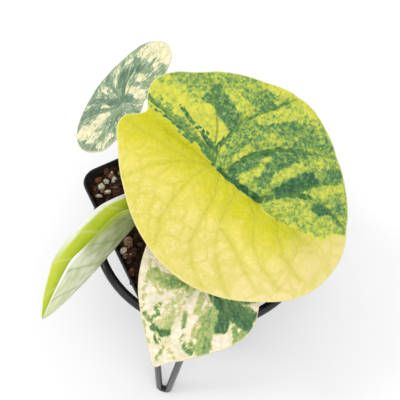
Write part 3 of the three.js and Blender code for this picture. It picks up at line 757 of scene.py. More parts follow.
def leaf_fields(paint):
    """What a leaf's mesh carries, by name, for its skin to read."""
    place = paint.field("leaf_place")
    s, t, nearest = paint.split(place)
    green, vein, under = paint.split(paint.field("leaf_look"))
    edge, border, _ = paint.split(paint.field("leaf_edge"))
    return SimpleNamespace(
        flat=paint.stretch(place, (1.0, 1.0, 0.0)), s=s, t=t, nearest=nearest, green=green, vein=vein,
        under=under, edge=edge, border=border, ray=paint.field("leaf_ray"),
    )


def leaf_skin(paint, at, scale, depth, roughness):
    """The pebbled, softly shining skin that the leaves share."""
    pebbles = paint.cells(at.flat, scale)
    fine = paint.noise(at.flat, scale * 2.4, 1.0)
    swell = paint.noise(at.flat, 0.3, 2.0)
    paint.bump(pebbles * 0.5 + fine * 0.2 + swell * 0.7 - at.vein * 0.4, depth)
    paint.rough(roughness + 0.12 * (fine - 0.5) + at.under * 0.12)


def big_leaf_paint(settings):
    """Skin of the big leaf: chartreuse to butter yellow on its near half, marbled green on its far half."""
    paint = Paint("big_leaf_skin", 0.5, Specular_IOR_Level=0.22)
    at = leaf_fields(paint)
    broad = paint.noise(at.flat, 0.09, 2.0)
    patch = paint.noise(at.flat, 0.42, 5.0, 0.62)
    streak = paint.noise(at.ray, 1.0, 3.0, 0.6)
    grain = paint.grains(at.flat, 0.95)
    mottle = paint.noise(at.flat, 0.2, 3.0, 0.6)
    away = (at.s + 9.0 * (broad - 0.5)).steps(2, 38)
    tip = (at.t + 0.4 * at.s + 16.0 * (mottle - 0.5)).steps(42, 72, 0.0, 0.8)
    pale = paint.ramp(away, [
        (0.0, settings.chartreuse), (0.22, "#d3cc14"), (0.45, "#e0d446"), (0.7, "#ecdc74"),
        (1.0, settings.butter),
    ])
    for amount, tint in (
        (mottle.steps(0.4, 0.62) * away * 0.2, "#ebe295"),
        (at.t.steps(-14, 30, 0.75, 0.0) * away, "#dfd252"),
        (tip, "#f0dc98"),
        # Pale specks on the pebbles: partly cream speckling, partly painted highlight on the pebble tops
        (grain.steps(0.35, 1.0) * (0.1 + 0.22 * away), "#f6efae"),
        # Painted shade: darker along the creases between the cells, and in the vein valleys, deep and narrow
        # by each vein and faint and broad around it
        (at.border.steps(0.1, 1.0, 0.34, 0.0), "#cbc534"),
        (at.nearest.steps(0.9, 3.6, 0.2, 0.0), "#cdc934"),
        (at.nearest.steps(0.1, 1.6, 0.26, 0.0), "#bfbc2e"),
    ):
        pale = paint.mix(amount, pale, tint)
    level = at.green + 1.15 * (patch - 0.5) + 0.45 * (streak - 0.5) + 0.27 * (grain - 0.5)
    greens = paint.ramp(level, [
        (0.14, "#dad74c"), (0.29, "#cbcf50"), (0.35, "#b5c550"), (0.47, "#a6bb52"), (0.50, "#8aa750"),
        (0.65, "#7a9b52"), (0.68, "#5c854f"), (0.84, "#48754b"), (1.0, settings.deep_green),
    ])
    # Painted shade in the vein valleys and in the creases between the cells
    greens = paint.mix(at.nearest.steps(0.1, 1.0, 0.6, 0.0), greens, "#4b7a34")
    greens = paint.mix(at.border.steps(0.1, 0.8, 0.16, 0.0), greens, "#4b7a34")
    colour = paint.mix(at.green.steps(0.03, 0.08), pale, greens)
    colour = paint.mix(at.vein * 0.12, colour, "#a9b53a")
    colour = paint.mix(at.edge.steps(0.25, 0.8, 0.75, 0.0), colour, "#efe9a4")
    paint.colour(paint.mix(at.under, colour, paint.mix(0.55, colour, "#c3ca8c")))
    leaf_skin(paint, at, 0.9, 0.6, 0.46)
    return paint


def small_leaf_paint(leaf, settings, deepest=()):
    """Skin of a smaller variegated leaf: cream with green that follows the veins."""
    paint = Paint(leaf["piece"] + "_skin", 0.5, Specular_IOR_Level=0.4)
    at = leaf_fields(paint)
    patch = paint.noise(at.flat, 0.5, 4.0, 0.65)
    grain = paint.grains(at.flat, 1.05)
    streak = paint.noise(at.ray, 1.2, 3.0, 0.6)
    level = at.green + 0.75 * (patch - 0.5) + 0.16 * (grain - 0.5) + leaf["radial"] * (streak - 0.5)
    ground = paint.mix((patch + 0.4 * (streak - 0.5)).steps(0.4, 0.6), leaf["ground"], leaf["warm"])
    greens = paint.ramp(level, [*leaf["greens"], *deepest])
    colour = paint.mix(level.steps(leaf["bare"], leaf["bare"] + 0.07), ground, greens)
    # Painted shade in the creases between the cells
    colour = paint.mix(at.border.steps(0.1, 1.0, 0.18, 0.0), colour, "#7f9a52")
    colour = paint.mix(at.vein * 0.5, colour, leaf["ribs"])
    colour = paint.mix(at.edge.steps(0.25, 0.8, 0.7, 0.0), colour, settings.cream)
    paint.colour(paint.mix(at.under, colour, paint.mix(0.5, colour, "#b9c79c")))
    leaf_skin(paint, at, 1.0, 0.45, 0.44)
    return paint


def young_mesh(thickness):
    """The folded young leaf: two halves that rise from one keel, as a closed shell."""
    stations, across = YOUNG["stations"], YOUNG["across"]
    keel, near, far = (curve_through(YOUNG[k], stations + 1)[:, None, :] for k in ("keel", "near", "far"))
    side = np.linspace(-1, 1, across + 1)
    share = np.abs(side)[None, :, None]
    edge = np.where(side[None, :, None] < 0, near, far)
    mouth = (near + far) / 2
    width = np.linalg.norm(edge - keel, axis=2, keepdims=True)
    grid = keel * (1 - share) + edge * share
    bulge = YOUNG["bulge"] * np.sin(math.pi * share) * np.minimum(1, width / YOUNG["full_bulge"])
    grid = grid + unit(edge - mouth) * bulge
    v, u = np.meshgrid(side, np.linspace(0, 1, stations + 1))
    out_from_keel = np.abs(v)
    slant = u * YOUNG["veins"] - out_from_keel + YOUNG["first_vein"]
    veins = np.abs(slant - np.round(slant))
    groove = bell(veins, YOUNG["vein_width"]) * smoothstep(out_from_keel, *YOUNG["vein_starts"])
    groove = groove * (1 - smoothstep(out_from_keel, *YOUNG["vein_ends"]))
    out = unit(np.cross(np.gradient(grid, axis=0), np.gradient(grid, axis=1)))
    off_keel = smoothstep(out_from_keel, 0.0, YOUNG["keel_round"])[..., None]
    out = unit(unit(keel - mouth) * (1 - off_keel) + out * off_keel)
    taper = np.minimum(1, width / YOUNG["full_width"])
    grid = grid + out * (YOUNG["vein_depth"] * groove[..., None] * taper)
    outer = grid + out * thickness * np.clip(taper, YOUNG["thinnest"], 1)
    count = (stations + 1) * (across + 1)
    at = np.arange(count).reshape(stations + 1, across + 1).tolist()
    faces = []
    for k in range(stations):
        for i in range(across):
            a, b, c, d = at[k][i], at[k + 1][i], at[k + 1][i + 1], at[k][i + 1]
            faces.append((a, d, c, b))
            faces.append((count + a, count + b, count + c, count + d))
    rim = []
    for i in range(across):
        rim += [(at[0][i], at[0][i + 1]), (at[stations][i + 1], at[stations][i])]
    for k in range(stations):
        rim += [(at[k + 1][0], at[k][0]), (at[k][across], at[k + 1][across])]
    faces += [(a, count + a, count + b, b) for a, b in rim]
    outside = np.concatenate([np.zeros(count), np.ones(count)])
    groove, veins, u, v = (np.tile(values.ravel(), 2) for values in (groove, veins, u, v))
    fields = {
        "leaf_place": np.column_stack([u * YOUNG["length"], v * YOUNG["half"], veins]),
        "leaf_look": np.column_stack([groove, outside, v]),
    }
    return np.concatenate([grid.reshape(-1, 3), outer.reshape(-1, 3)]), faces, fields


def young_paint():
    """Skin of the young leaf: lime within, and its pale, green-veined underside without."""
    paint = Paint("young_leaf_skin", 0.42, Specular_IOR_Level=0.45)
    place = paint.field("leaf_place")
    groove, outside, v = paint.split(paint.field("leaf_look"))
    u, _, _ = paint.split(place)
    near = 0.0 - v
    patch = paint.noise(paint.stretch(place, (0.35, 1.0, 0.0)), 0.32, 3.0)
    speck = paint.noise(place, 1.6, 2.0)
    lime = paint.mix((v + 0.5 * (patch - 0.5)).steps(0.25, 0.9), "#b2c80c", "#cdd930")
    lime = paint.mix(u.steps(8, 34, 0.0, 0.35) * patch.steps(0.4, 0.7), lime, "#8fb414")
    lime = paint.mix((v + 0.1 * (patch - 0.5)).steps(0.82, 0.93) * u.steps(62, 38), lime, "#fbfbf4")
    lime = paint.mix(v.steps(0.93, 1.0) * u.steps(38, 60), lime, "#e3e48e")
    inner_near = paint.mix(patch.steps(0.4, 0.6), "#b9cf52", "#dfe5b0")
    inside = paint.mix(v.steps(-0.02, 0.02), inner_near, lime)
    shade = paint.mix(patch.steps(0.36, 0.64), "#8e9b62", "#a6b07c")
    light = paint.mix(patch.steps(0.36, 0.64), "#c3cb9f", "#dbe0c4")
    pale = paint.mix((u + 10.0 * (patch - 0.5)).steps(20, 56), shade, light)
    pale = paint.mix(near.steps(0.72, 1.0) * u.steps(48, 26, 0.0, 0.85), pale, "#aec02e")
    # Painted highlight: a white line along the near edge, from the middle of the leaf towards its tip
    pale = paint.mix(near.steps(0.88, 0.98) * u.steps(38, 50), pale, "#fafaf2")
    pale = paint.mix(u.steps(58, 80, 0.0, 0.6), pale, "#dadca6")
    colour = paint.mix(outside, inside, pale)
    paint.colour(paint.mix(groove * 0.5, colour, paint.mix(outside, "#dfe79a", "#7f9653")))
    paint.bump(speck * 0.4 + groove * 0.5, 0.25)
    paint.rough(0.42 + 0.1 * (speck - 0.5))
    return paint


class AROID_OT_leaves(bpy.types.Operator):
    """Build the four leaf blades with their veins, quilting and variegation"""

    bl_idname = "aroid.leaves"
    bl_label = "Leaves"

    def execute(self, context):
        settings = context.scene.aroid_leaves
        [thickness] = millimetres(settings, "thickness")
        for leaf, paint in (
            (BIG, big_leaf_paint(settings)),
            (BACK, small_leaf_paint(BACK, settings)),
            (FRONT, small_leaf_paint(FRONT, settings, [(0.98, settings.deep_green)])),
        ):
            points, faces, fields = leaf_mesh(leaf, thickness)
            make_piece(leaf["piece"], points, faces, paint, leaf["node"], fields)
        points, faces, fields = young_mesh(thickness)
        make_piece("young_leaf", points, faces, young_paint(), "leaf_young", fields)
        return {"FINISHED"}


# Stalks and stem

STEM_RADIUS = 10
STEM_PROFILE = [  # (radius, height) from the middle of the base to the middle of the top
    (0.2, 102.5), (STEM_RADIUS, 102.5), (STEM_RADIUS, 119.6), (9.2, 120.4), (9.9, 121.2), (9.5, 122.2),
    (9.0, 122.6), (9.6, 123.4), (9.2, 124.4), (8.4, 125.0), (6.0, 125.1), (0.2, 125.2),
]
STEM_WAVES = ((0.03, 3, 1), (0.02, 7, 2))  # (share of the radius, waves in a turn, twist with the height)
STEM_SIDES = 72
STALK = {
    "foot_out": 5.4, "foot_height": 124.7, "below_leaf": 0.75, "points": 48, "radius": 2.2,
    "foot_swell": 0.7, "swell_falls": 1.6, "collar": 0.35, "collar_from": 0.93,
    "sheath_points": 17, "sheath_out": 0.25, "sheath_radii": (3.15, 2.15), "sheath_end": 0.96,
}
STALKS = [  # (piece, node, azimuth of its foot, its rise there, its reach under the leaf, leaf)
    ("stalk_of_big_leaf", "petiole_big", 110, 14, 14, BIG),
    ("stalk_of_back_leaf", "petiole_back", 212, 16, 18, BACK),
    ("stalk_of_front_leaf", "petiole_front", 6, 7, 6, FRONT),
    ("stalk_of_young_leaf", "petiole_young", 283, 9, 6, YOUNG),
]


def stalk_paint():
    paint = Paint("stalk_skin", 0.42, Specular_IOR_Level=0.45)
    place = paint.place()
    streak = paint.noise(paint.stretch(place, (900.0, 900.0, 90.0)), 1.0, 3.0)
    speck = paint.noise(place, 1400.0, 2.0)
    colour = paint.mix(streak.steps(0.35, 0.65), "#a9bb52", "#d2d78e")
    paint.colour(paint.mix(speck.steps(0.58, 0.72, 0.0, 0.4), colour, "#7f9a48"))
    paint.bump(streak * 0.6 + speck * 0.2, 0.25)
    paint.rough(0.4 + 0.15 * (speck - 0.5))
    return paint


def stem_paint():
    paint = Paint("stem_skin", 0.7)
    place = paint.place()
    streak = paint.noise(paint.stretch(place, (300.0, 300.0, 1200.0)), 1.0, 4.0)
    speck = paint.noise(place, 700.0, 3.0)
    colour = paint.ramp(streak, [(0.3, "#5d5a34"), (0.5, "#8a8f52"), (0.7, "#b2a873")])
    paint.colour(paint.mix(speck.steps(0.55, 0.7, 0.0, 0.6), colour, "#4a3a26"))
    paint.bump(streak * 0.7 + speck * 0.5, 0.6)
    return paint


def stalk_end(leaf):
    """Where a leaf's stalk meets it, and the way up out of the leaf there."""
    if leaf is YOUNG:
        return curve_through(leaf["keel"], 101)[round(100 * leaf["stalk_at"])], unit(leaf["normal"])
    origin, _, normal, _ = leaf_axes(leaf)
    return origin, normal


class AROID_OT_stalks(bpy.types.Operator):
    """Build the leaf stalks with their open sheaths, and the short stem they grow from"""

    bl_idname = "aroid.stalks"
    bl_label = "Stalks and stem"

    def execute(self, context):
        skin = stalk_paint()
        up = np.array([0, 0, 1])
        share = np.linspace(0, 1, STALK["points"])
        radii = (STALK["radius"] + STALK["foot_swell"] * np.clip(1 - STALK["swell_falls"] * share, 0, 1)
                 + STALK["collar"] * smoothstep(share, STALK["collar_from"], 1.0))
        wrapped = STALK["sheath_points"]
        sheath_radii = np.linspace(*STALK["sheath_radii"], wrapped)
        sheath_radii = sheath_radii * np.linspace(1, STALK["sheath_end"], wrapped)
        for piece, node, azimuth, rise, arrive, leaf in STALKS:
            foot = polar(STALK["foot_out"], azimuth, STALK["foot_height"])
            origin, normal = stalk_end(leaf)
            end = origin - normal * STALK["below_leaf"]
            path = bezier(foot, foot + up * rise, end - normal * arrive, end, STALK["points"])
            wrap = path[:wrapped] + polar(STALK["sheath_out"], azimuth, 0)
            points, faces, _ = join_parts([tube(path, radii), tube(wrap, sheath_radii)])
            make_piece(piece, points, faces, skin, node)
        turns = full_turn(STEM_SIDES)
        loops = []
        for radius, z in STEM_PROFILE:
            wave = sum(part * np.sin(waves * turns + twist * z) for part, waves, twist in STEM_WAVES)
            reach = radius * (1 + wave)
            level = np.full(len(turns), z)
            loops.append(np.column_stack([reach * np.cos(turns), reach * np.sin(turns), level]))
        points, faces = loft(loops)
        make_piece("stem", points, faces, stem_paint(), "stem")
        return {"FINISHED"}


# Potting mix

DARK_BARK, RED_BARK, TAN_BARK, PERLITE = 1, 2, 3, 4
BED = {  # the body of the mix: (half width, corner, height) of its foot, and how it fits the pot
    "foot": (33.4, 10.4, 36.6), "wide": 43.7, "play": 0.4, "rim_play": 0.9, "shoulder": (13.4, 118.5),
    "step": (7.4, 118.6), "skirt": 0.9, "corners": (0.16, 0.46), "corner_points": 9, "rings": 46,
    "around": 160, "lump": 0.9, "lump_size": 5.0, "crumb": 1.0, "crumb_size": 3.0,
}
BITS = {  # chips and grains: sizes, flatness and how high they lie, in millimetres or shares of their size
    "small_chips": (0.7, 1.9), "large_chips": (1.9, 3.8), "small_share": 0.8, "kinds": (0.80, 0.15, 0.05),
    "chip_flat": (0.3, 0.6), "chip_lift": 0.175, "chip_gap": 0.6, "grains": (0.7, 1.7), "grain_flat": 0.85,
    "grain_lift": 0.7, "grain_gap": 3, "laid_flat": 0.45, "laid_grain_flat": 0.75, "laid_lift": 1.1,
    "bark_rough": 0.16, "perlite_rough": 0.24, "tilt": 0.35,
}
# Bits that lie in plain view by the young leaf: x, y, size and kind
LAID_BITS = [
    (-53.8, 19.4, 2.3, PERLITE), (-56.4, 16.2, 2.6, PERLITE), (-51.4, 23.2, 2.2, TAN_BARK),
    (-54, 25.6, 2.4, RED_BARK), (-49.4, 20.4, 2.0, PERLITE), (-52.3, 13.0, 1.7, PERLITE),
    (-57.0, 10.6, 1.7, PERLITE), (-53.4, 12.4, 1.4, TAN_BARK), (-46.8, 12.6, 3.6, DARK_BARK),
    (-48.6, 16.6, 1.7, TAN_BARK), (-58.4, 20.6, 2.2, RED_BARK), (-50.2, 27.6, 2.4, DARK_BARK),
    (-55.6, 13.6, 1.2, TAN_BARK), (-41.8, -21.4, 1.9, PERLITE), (-38.1, -23.6, 1.1, PERLITE),
    (-39, -27.6, 2.2, DARK_BARK), (-36.4, -38.6, 1.8, DARK_BARK), (-37, -33, 2.1, RED_BARK),
    (-40.6, -24.4, 1.6, TAN_BARK),
]


def pebble():
    """A round body of 80 triangles: an icosahedron, each of its faces cut into four."""
    gold = (1 + 5 ** 0.5) / 2
    corners = [(-1, gold, 0), (1, gold, 0), (-1, -gold, 0), (1, -gold, 0), (0, -1, gold), (0, 1, gold),
               (0, -1, -gold), (0, 1, -gold), (gold, 0, -1), (gold, 0, 1), (-gold, 0, -1), (-gold, 0, 1)]
    points = [unit(corner) for corner in corners]
    coarse = [(0, 11, 5), (0, 5, 1), (0, 1, 7), (0, 7, 10), (0, 10, 11), (1, 5, 9), (5, 11, 4), (11, 10, 2),
              (10, 7, 6), (7, 1, 8), (3, 9, 4), (3, 4, 2), (3, 2, 6), (3, 6, 8), (3, 8, 9), (4, 9, 5),
              (2, 4, 11), (6, 2, 10), (8, 6, 7), (9, 8, 1)]
    middle = {}
    faces = []
    for a, b, c in coarse:
        mids = []
        for p, q in ((a, b), (b, c), (c, a)):
            key = (min(p, q), max(p, q))
            if key not in middle:
                middle[key] = len(points)
                points.append(unit(points[p] + points[q]))
            mids.append(middle[key])
        ab, bc, ca = mids
        faces += [(a, ab, ca), (b, bc, ab), (c, ca, bc), (ab, bc, ca)]
    return np.array(points), faces


PEBBLE = pebble()


def crumb(rng, size, flatness, rough):
    """One irregular chip or grain about the origin, as points and faces."""
    points, faces = PEBBLE
    stretch = np.array([1.0, rng.uniform(0.5, 0.9), flatness * rng.uniform(0.8, 1.2)])
    bent = points * (1 + rough * rng.uniform(-1, 1, (len(points), 1))) * stretch * size
    yaw, pitch, roll = rng.uniform(0, 2 * math.pi), rng.normal(0, BITS["tilt"]), rng.normal(0, BITS["tilt"])
    turn = turn_matrix(yaw, 0, 1) @ turn_matrix(pitch, 2, 0) @ turn_matrix(roll, 1, 2)
    return bent @ turn.T, faces


def mix_paints():
    """The soil, three kinds of bark and the perlite, in the order of their kinds."""
    soil = Paint("potting_mix", 0.95, Specular_IOR_Level=0.2)
    place = soil.place()
    lumps = soil.noise(place, 420.0, 5.0, 0.65)
    specks = soil.noise(place, 1500.0, 3.0, 0.6)
    soil.colour(soil.ramp(lumps + 0.3 * (specks - 0.5), [
        (0.3, "#120b07"), (0.5, "#2a1910"), (0.66, "#4a2f20"), (0.8, "#6d4a34"),
    ]))
    soil.bump(lumps + specks * 0.4, 1.6)
    bark = []
    for name, dark, light in (
        ("dark_bark", "#1e120c", "#553524"),
        ("red_bark", "#3e2415", "#8d5a3a"),
        ("tan_bark", "#6a4a36", "#ad9078"),
    ):
        paint = Paint(name, 0.85, Specular_IOR_Level=0.25)
        place = paint.place()
        grain = paint.noise(paint.stretch(place, (1.0, 3.5, 1.0)), 380.0, 4.0)
        speck = paint.noise(place, 1300.0, 2.0)
        paint.colour(paint.mix((grain + 0.3 * (speck - 0.5)).steps(0.35, 0.68), dark, light))
        paint.bump(grain + 0.4 * speck, 0.9)
        bark.append(paint)
    perlite = Paint("perlite", 0.9, Specular_IOR_Level=0.2)
    pits = perlite.cells(perlite.place(), 1500.0)
    perlite.colour(perlite.mix(pits.steps(0.1, 0.7), "#a8977c", "#f0e6d2"))
    perlite.bump(pits, 0.5)
    return [soil, *bark, perlite]


class AROID_OT_potting_mix(bpy.types.Operator):
    """Build the potting mix with bark chips and perlite lying on it"""

    bl_idname = "aroid.potting_mix"
    bl_label = "Potting mix"

    def execute(self, context):
        settings = context.scene.aroid_mix
        pot = context.scene.aroid_pot
        half, wall = millimetres(pot, "half", "wall")
        [top] = millimetres(settings, "top")
        inner = half - wall - BED["rim_play"]
        rng = np.random.default_rng(settings.seed)
        across, back, _ = turn_matrix(pot.yaw, 0, 1).T
        parts = [self.bed(inner, wall, top, pot.yaw)]
        kinds = [0]

        def lay(place, size, flatness, kind, lift):
            rough = BITS["perlite_rough" if kind == PERLITE else "bark_rough"]
            points, faces = crumb(rng, size, flatness, rough)
            parts.append((points + place + (0, 0, top + lift), faces))
            kinds.append(kind)

        placed = 0
        while placed < settings.chips:
            a, b = rng.uniform(-1, 1, 2)
            size = rng.uniform(*BITS["small_chips" if rng.random() < BITS["small_share"] else "large_chips"])
            place = (a * across + b * back) * (inner - size)
            if np.linalg.norm(place) < STEM_RADIUS + size + BITS["chip_gap"]:
                continue
            kind = rng.choice([DARK_BARK, RED_BARK, TAN_BARK], p=BITS["kinds"])
            lay(place, size, rng.uniform(*BITS["chip_flat"]), kind, BITS["chip_lift"] * size)
            placed += 1
        for _ in range(settings.grains):
            a, b = rng.uniform(-1, 1, 2) * (inner - BITS["grain_gap"])
            place = a * across + b * back
            if np.linalg.norm(place) < STEM_RADIUS + BITS["grain_gap"]:
                continue
            lay(place, rng.uniform(*BITS["grains"]), BITS["grain_flat"], PERLITE, BITS["grain_lift"])
        for x, y, size, kind in LAID_BITS:
            flatness = BITS["laid_grain_flat" if kind == PERLITE else "laid_flat"]
            lay((x, y, 0), size, flatness, kind, BITS["laid_lift"])
        points, faces, counts = join_parts(parts)
        indices = np.repeat(kinds, counts).tolist()
        make_piece("potting_mix_top", points, faces, mix_paints(), "potting_mix", smooth=False,
                   indices=indices)
        return {"FINISHED"}

    def bed(self, inner, wall, top, yaw):
        """The body of the mix, which fills the pot and has a lumpy top."""
        corner, height = BED["shoulder"]
        step_corner, step = BED["step"]
        per_corner = BED["corner_points"]
        rows = [BED["foot"], (BED["wide"] - wall - BED["play"], corner, height), (inner, step_corner, step),
                (inner, step_corner, top - BED["skirt"])]
        loops = [rounded_square(*row, per_corner, yaw) for row in rows]
        square, rounder = BED["corners"]
        for k in range(1, BED["rings"]):
            share = k / BED["rings"]
            corner = square + (rounder - square) * share
            loop = inner * (1 - share) * rounded_square(1.0, corner, 0, per_corner, yaw)
            loop[:, 2] = top + BED["lump"] * ripples(loop[:, 0], loop[:, 1], BED["lump_size"], 2.0, 4)
            loops.append(loop)
        # The points are spaced evenly over the large lumps before the fine crumb sets their heights
        loops = [evenly(np.vstack([loop, loop[:1]]), BED["around"] + 1)[:-1] for loop in loops]
        for loop in loops[len(rows):]:
            loop[:, 2] = top + BED["crumb"] * ripples(loop[:, 0], loop[:, 1], BED["crumb_size"], 7.0, 3)
        return loft(loops)


# Pot

CORNER_POINTS = 14
DRAIN = {"out": 19, "radius": 4.5, "sides": 32, "low": 33, "high": 38.5}


def pot_paint(settings):
    paint = Paint("pot_plastic", 0.42, Specular_IOR_Level=0.5)
    place = paint.place()
    dust = paint.noise(place, 60.0, 4.0, 0.6)
    grain = paint.noise(place, 2600.0, 2.0)
    scuff = paint.noise(paint.stretch(place, (1.0, 1.0, 6.0)), 240.0, 3.0)
    colour = paint.mix(dust.steps(0.5, 0.75, 0.0, 0.35), settings.colour, "#34363b")
    paint.colour(paint.mix(scuff.steps(0.68, 0.78, 0.0, 0.25), colour, "#4a4c50"))
    paint.bump(grain * 0.5 + scuff * 0.2, 0.12)
    paint.rough(0.36 + 0.2 * dust)
    return paint


class AROID_OT_pot(bpy.types.Operator):
    """Build the square nursery pot with its rolled rim, shoulder and drain holes"""

    bl_idname = "aroid.pot"
    bl_label = "Pot"

    def execute(self, context):
        settings = context.scene.aroid_pot
        wall, rim, half = millimetres(settings, "wall", "rim", "half")
        rows = [  # (half width, corner, height) up the outside, over the rim and down the inside
            (33.5, 10.5, 35.0), (35.0, 12.0, 35.4), (35.4, 12.0, 36.6), (39.2, 13.4, 76), (43.4, 14.9, 115.8),
            (43.7, 15.0, 116.8), (44.4, 15.0, 117.0), (49.8, 9.2, 117.0), (50.4, 9.0, 117.4),
            (50.5, 9.0, 118.6), (half - 0.15, 9.0, rim - 2.6), (half, 9.0, rim - 1.9), (half, 9.0, rim - 0.5),
            (half - 0.2, 8.8, rim - 0.12), (half - 0.6, 8.4, rim), (half - wall + 0.2, 8.0, rim - 0.12),
            (half - wall, 7.8, rim - 0.5), (50.4 - wall, 7.8, 118.6), (49.4 - wall, 8.0, 118.2),
            (43.7 - wall, 13.8, 118.2), (42.4, 13.7, 117.0), (35.0 - wall, 10.8, 36.4),
            (33.0 - wall, 9.6, 36.2),
        ]
        points, faces = loft([rounded_square(*row, CORNER_POINTS, settings.yaw) for row in rows])
        piece = make_piece("nursery_pot", points, faces, pot_paint(settings), "pot")
        self.drill(piece, settings.yaw)
        return {"FINISHED"}

    def drill(self, piece, yaw):
        """Cuts the drain holes through the pot's floor."""
        across, back, _ = turn_matrix(yaw, 0, 1).T
        turns = full_turn(DRAIN["sides"])
        circle = DRAIN["radius"] * np.column_stack([np.cos(turns), np.sin(turns), np.zeros(len(turns))])
        cutters = []
        for a, b in ((0, 0), (1, 1), (1, -1), (-1, 1), (-1, -1)):
            hole = circle + DRAIN["out"] * (a * across + b * back)
            cutters.append(loft([hole + (0, 0, DRAIN["low"]), hole + (0, 0, DRAIN["high"])]))
        points, faces, _ = join_parts(cutters)
        mesh = bpy.data.meshes.new("drain_cut")
        mesh.from_pydata((points * MM + AXIS).tolist(), [], faces)
        cutter = bpy.data.objects.new("drain_cut", mesh)
        bpy.context.scene.collection.objects.link(cutter)
        cut = piece.modifiers.new("drain_holes", "BOOLEAN")
        cut.operation, cut.solver, cut.object = "DIFFERENCE", "EXACT", cutter
        graph = bpy.context.evaluated_depsgraph_get()
        drilled = bpy.data.meshes.new_from_object(piece.evaluated_get(graph))
        if len(drilled.polygons) <= len(piece.data.polygons):
            raise RuntimeError("the drain holes could not be cut")
        piece.modifiers.clear()
        piece.data = drilled
        bpy.data.objects.remove(cutter)


# Stand

STAND = {  # in millimetres and degrees: foot_flat is how much of a foot's underside is pressed flat
    "ring_height": 116.7, "ring_points": 192, "ring_sides": 24, "legs": 3, "legs_below": 0.8,
    "top_azimuth": -15.8, "top_spread": 10.5, "foot_azimuth": -20, "foot_radius": 77.3, "foot_flat": 0.5,
    "bend": 3.2, "bend_turn": 86, "bend_points": 27, "arm_points": 24,
    "weld_length": 0.9, "weld_swell": 0.3, "weld_share": 0.02,
}


def coat_paint(settings):
    paint = Paint("powder_coat", 0.36, Specular_IOR_Level=0.25, Coat_Weight=0.4, Coat_Roughness=0.16)
    place = paint.place()
    orange_peel = paint.noise(place, 1700.0, 2.0)
    wear = paint.noise(place, 110.0, 3.0)
    paint.colour(paint.mix(wear.steps(0.55, 0.75, 0.0, 0.3), settings.colour, "#1b1c20"))
    paint.bump(orange_peel, 0.08)
    paint.rough(0.3 + 0.16 * wear)
    return paint


class AROID_OT_stand(bpy.types.Operator):
    """Build the wire stand: a ring and three hairpin legs welded under it"""

    bl_idname = "aroid.stand"
    bl_label = "Wire stand"

    def execute(self, context):
        settings = context.scene.aroid_stand
        coat = coat_paint(settings)
        ring_rod, leg_rod, radius = millimetres(settings, "ring_rod", "leg_rod", "ring_radius")
        rod = ring_rod / 2
        height = STAND["ring_height"] - rod
        points, faces = self.hoop(radius, height, rod)
        make_piece("stand_hoop", points, faces, coat, "stand_ring")
        for leg in range(STAND["legs"]):
            turn = leg * 360 / STAND["legs"]
            points, faces = self.hairpin(turn, radius, height - rod - STAND["legs_below"], leg_rod / 2)
            make_piece(f"hairpin_leg_{leg + 1}", points, faces, coat, f"stand_leg_{leg + 1}")
        return {"FINISHED"}

    def hoop(self, radius, height, rod):
        """The ring: a round wire with no end."""
        around, sides = STAND["ring_points"], STAND["ring_sides"]
        section = full_turn(sides)
        reach, z = radius + rod * np.cos(section), height + rod * np.sin(section)
        points = [np.column_stack([reach * math.cos(turn), reach * math.sin(turn), z])
                  for turn in full_turn(around)]
        at = np.arange(around * sides).reshape(around, sides).tolist()
        faces = []
        for k in range(around):
            here, there = at[k], at[(k + 1) % around]
            for i in range(sides):
                j = (i + 1) % sides
                faces.append((here[i], there[i], there[j], here[j]))
        return np.concatenate(points), faces

    def hairpin(self, turn, ring_radius, top_height, rod):
        """One leg: down from the ring, round its foot and up again."""
        tops = [polar(ring_radius, STAND["top_azimuth"] + side * STAND["top_spread"] + turn, top_height)
                for side in (-1, 1)]
        foot = polar(STAND["foot_radius"], STAND["foot_azimuth"] + turn, rod - STAND["foot_flat"])
        up = unit((tops[0] + tops[1]) / 2 - foot)
        across = tops[1] - tops[0]
        across = unit(across - up * across.dot(up))
        bend = STAND["bend"]
        turns = np.radians(np.linspace(-STAND["bend_turn"], STAND["bend_turn"], STAND["bend_points"]))
        toe = foot + up * bend + bend * (np.outer(np.sin(turns), across) - np.outer(np.cos(turns), up))
        path = np.vstack([
            np.linspace(tops[0], toe[0], STAND["arm_points"])[:-1], toe,
            np.linspace(toe[-1], tops[1], STAND["arm_points"])[1:],
        ])
        welds = [end + unit(end - before) * STAND["weld_length"] for end, before in (path[:2], path[:-3:-1])]
        path = np.vstack([welds[0], path, welds[1]])
        to_end = 1 - np.abs(np.linspace(-1, 1, len(path)))
        points, faces = tube(path, rod * (1 + STAND["weld_swell"] * bell(to_end, STAND["weld_share"])))
        points[:, 2] = np.maximum(points[:, 2], 0.0)
        return points, faces


# Stage

FLOOR_REACH = 3.0
LIGHTS = [  # (name, its place from the pot's axis and its width, in metres)
    ("window", (-1.45, 0.1, 1.95), 0.45),
    ("ceiling", (0.3, -0.6, 2.2), 1.2),
]
CAMERA = {"place": (-0.0022, -0.1273, 0.387), "tilt": 27, "lens": 49.5, "sensor": 36.0}


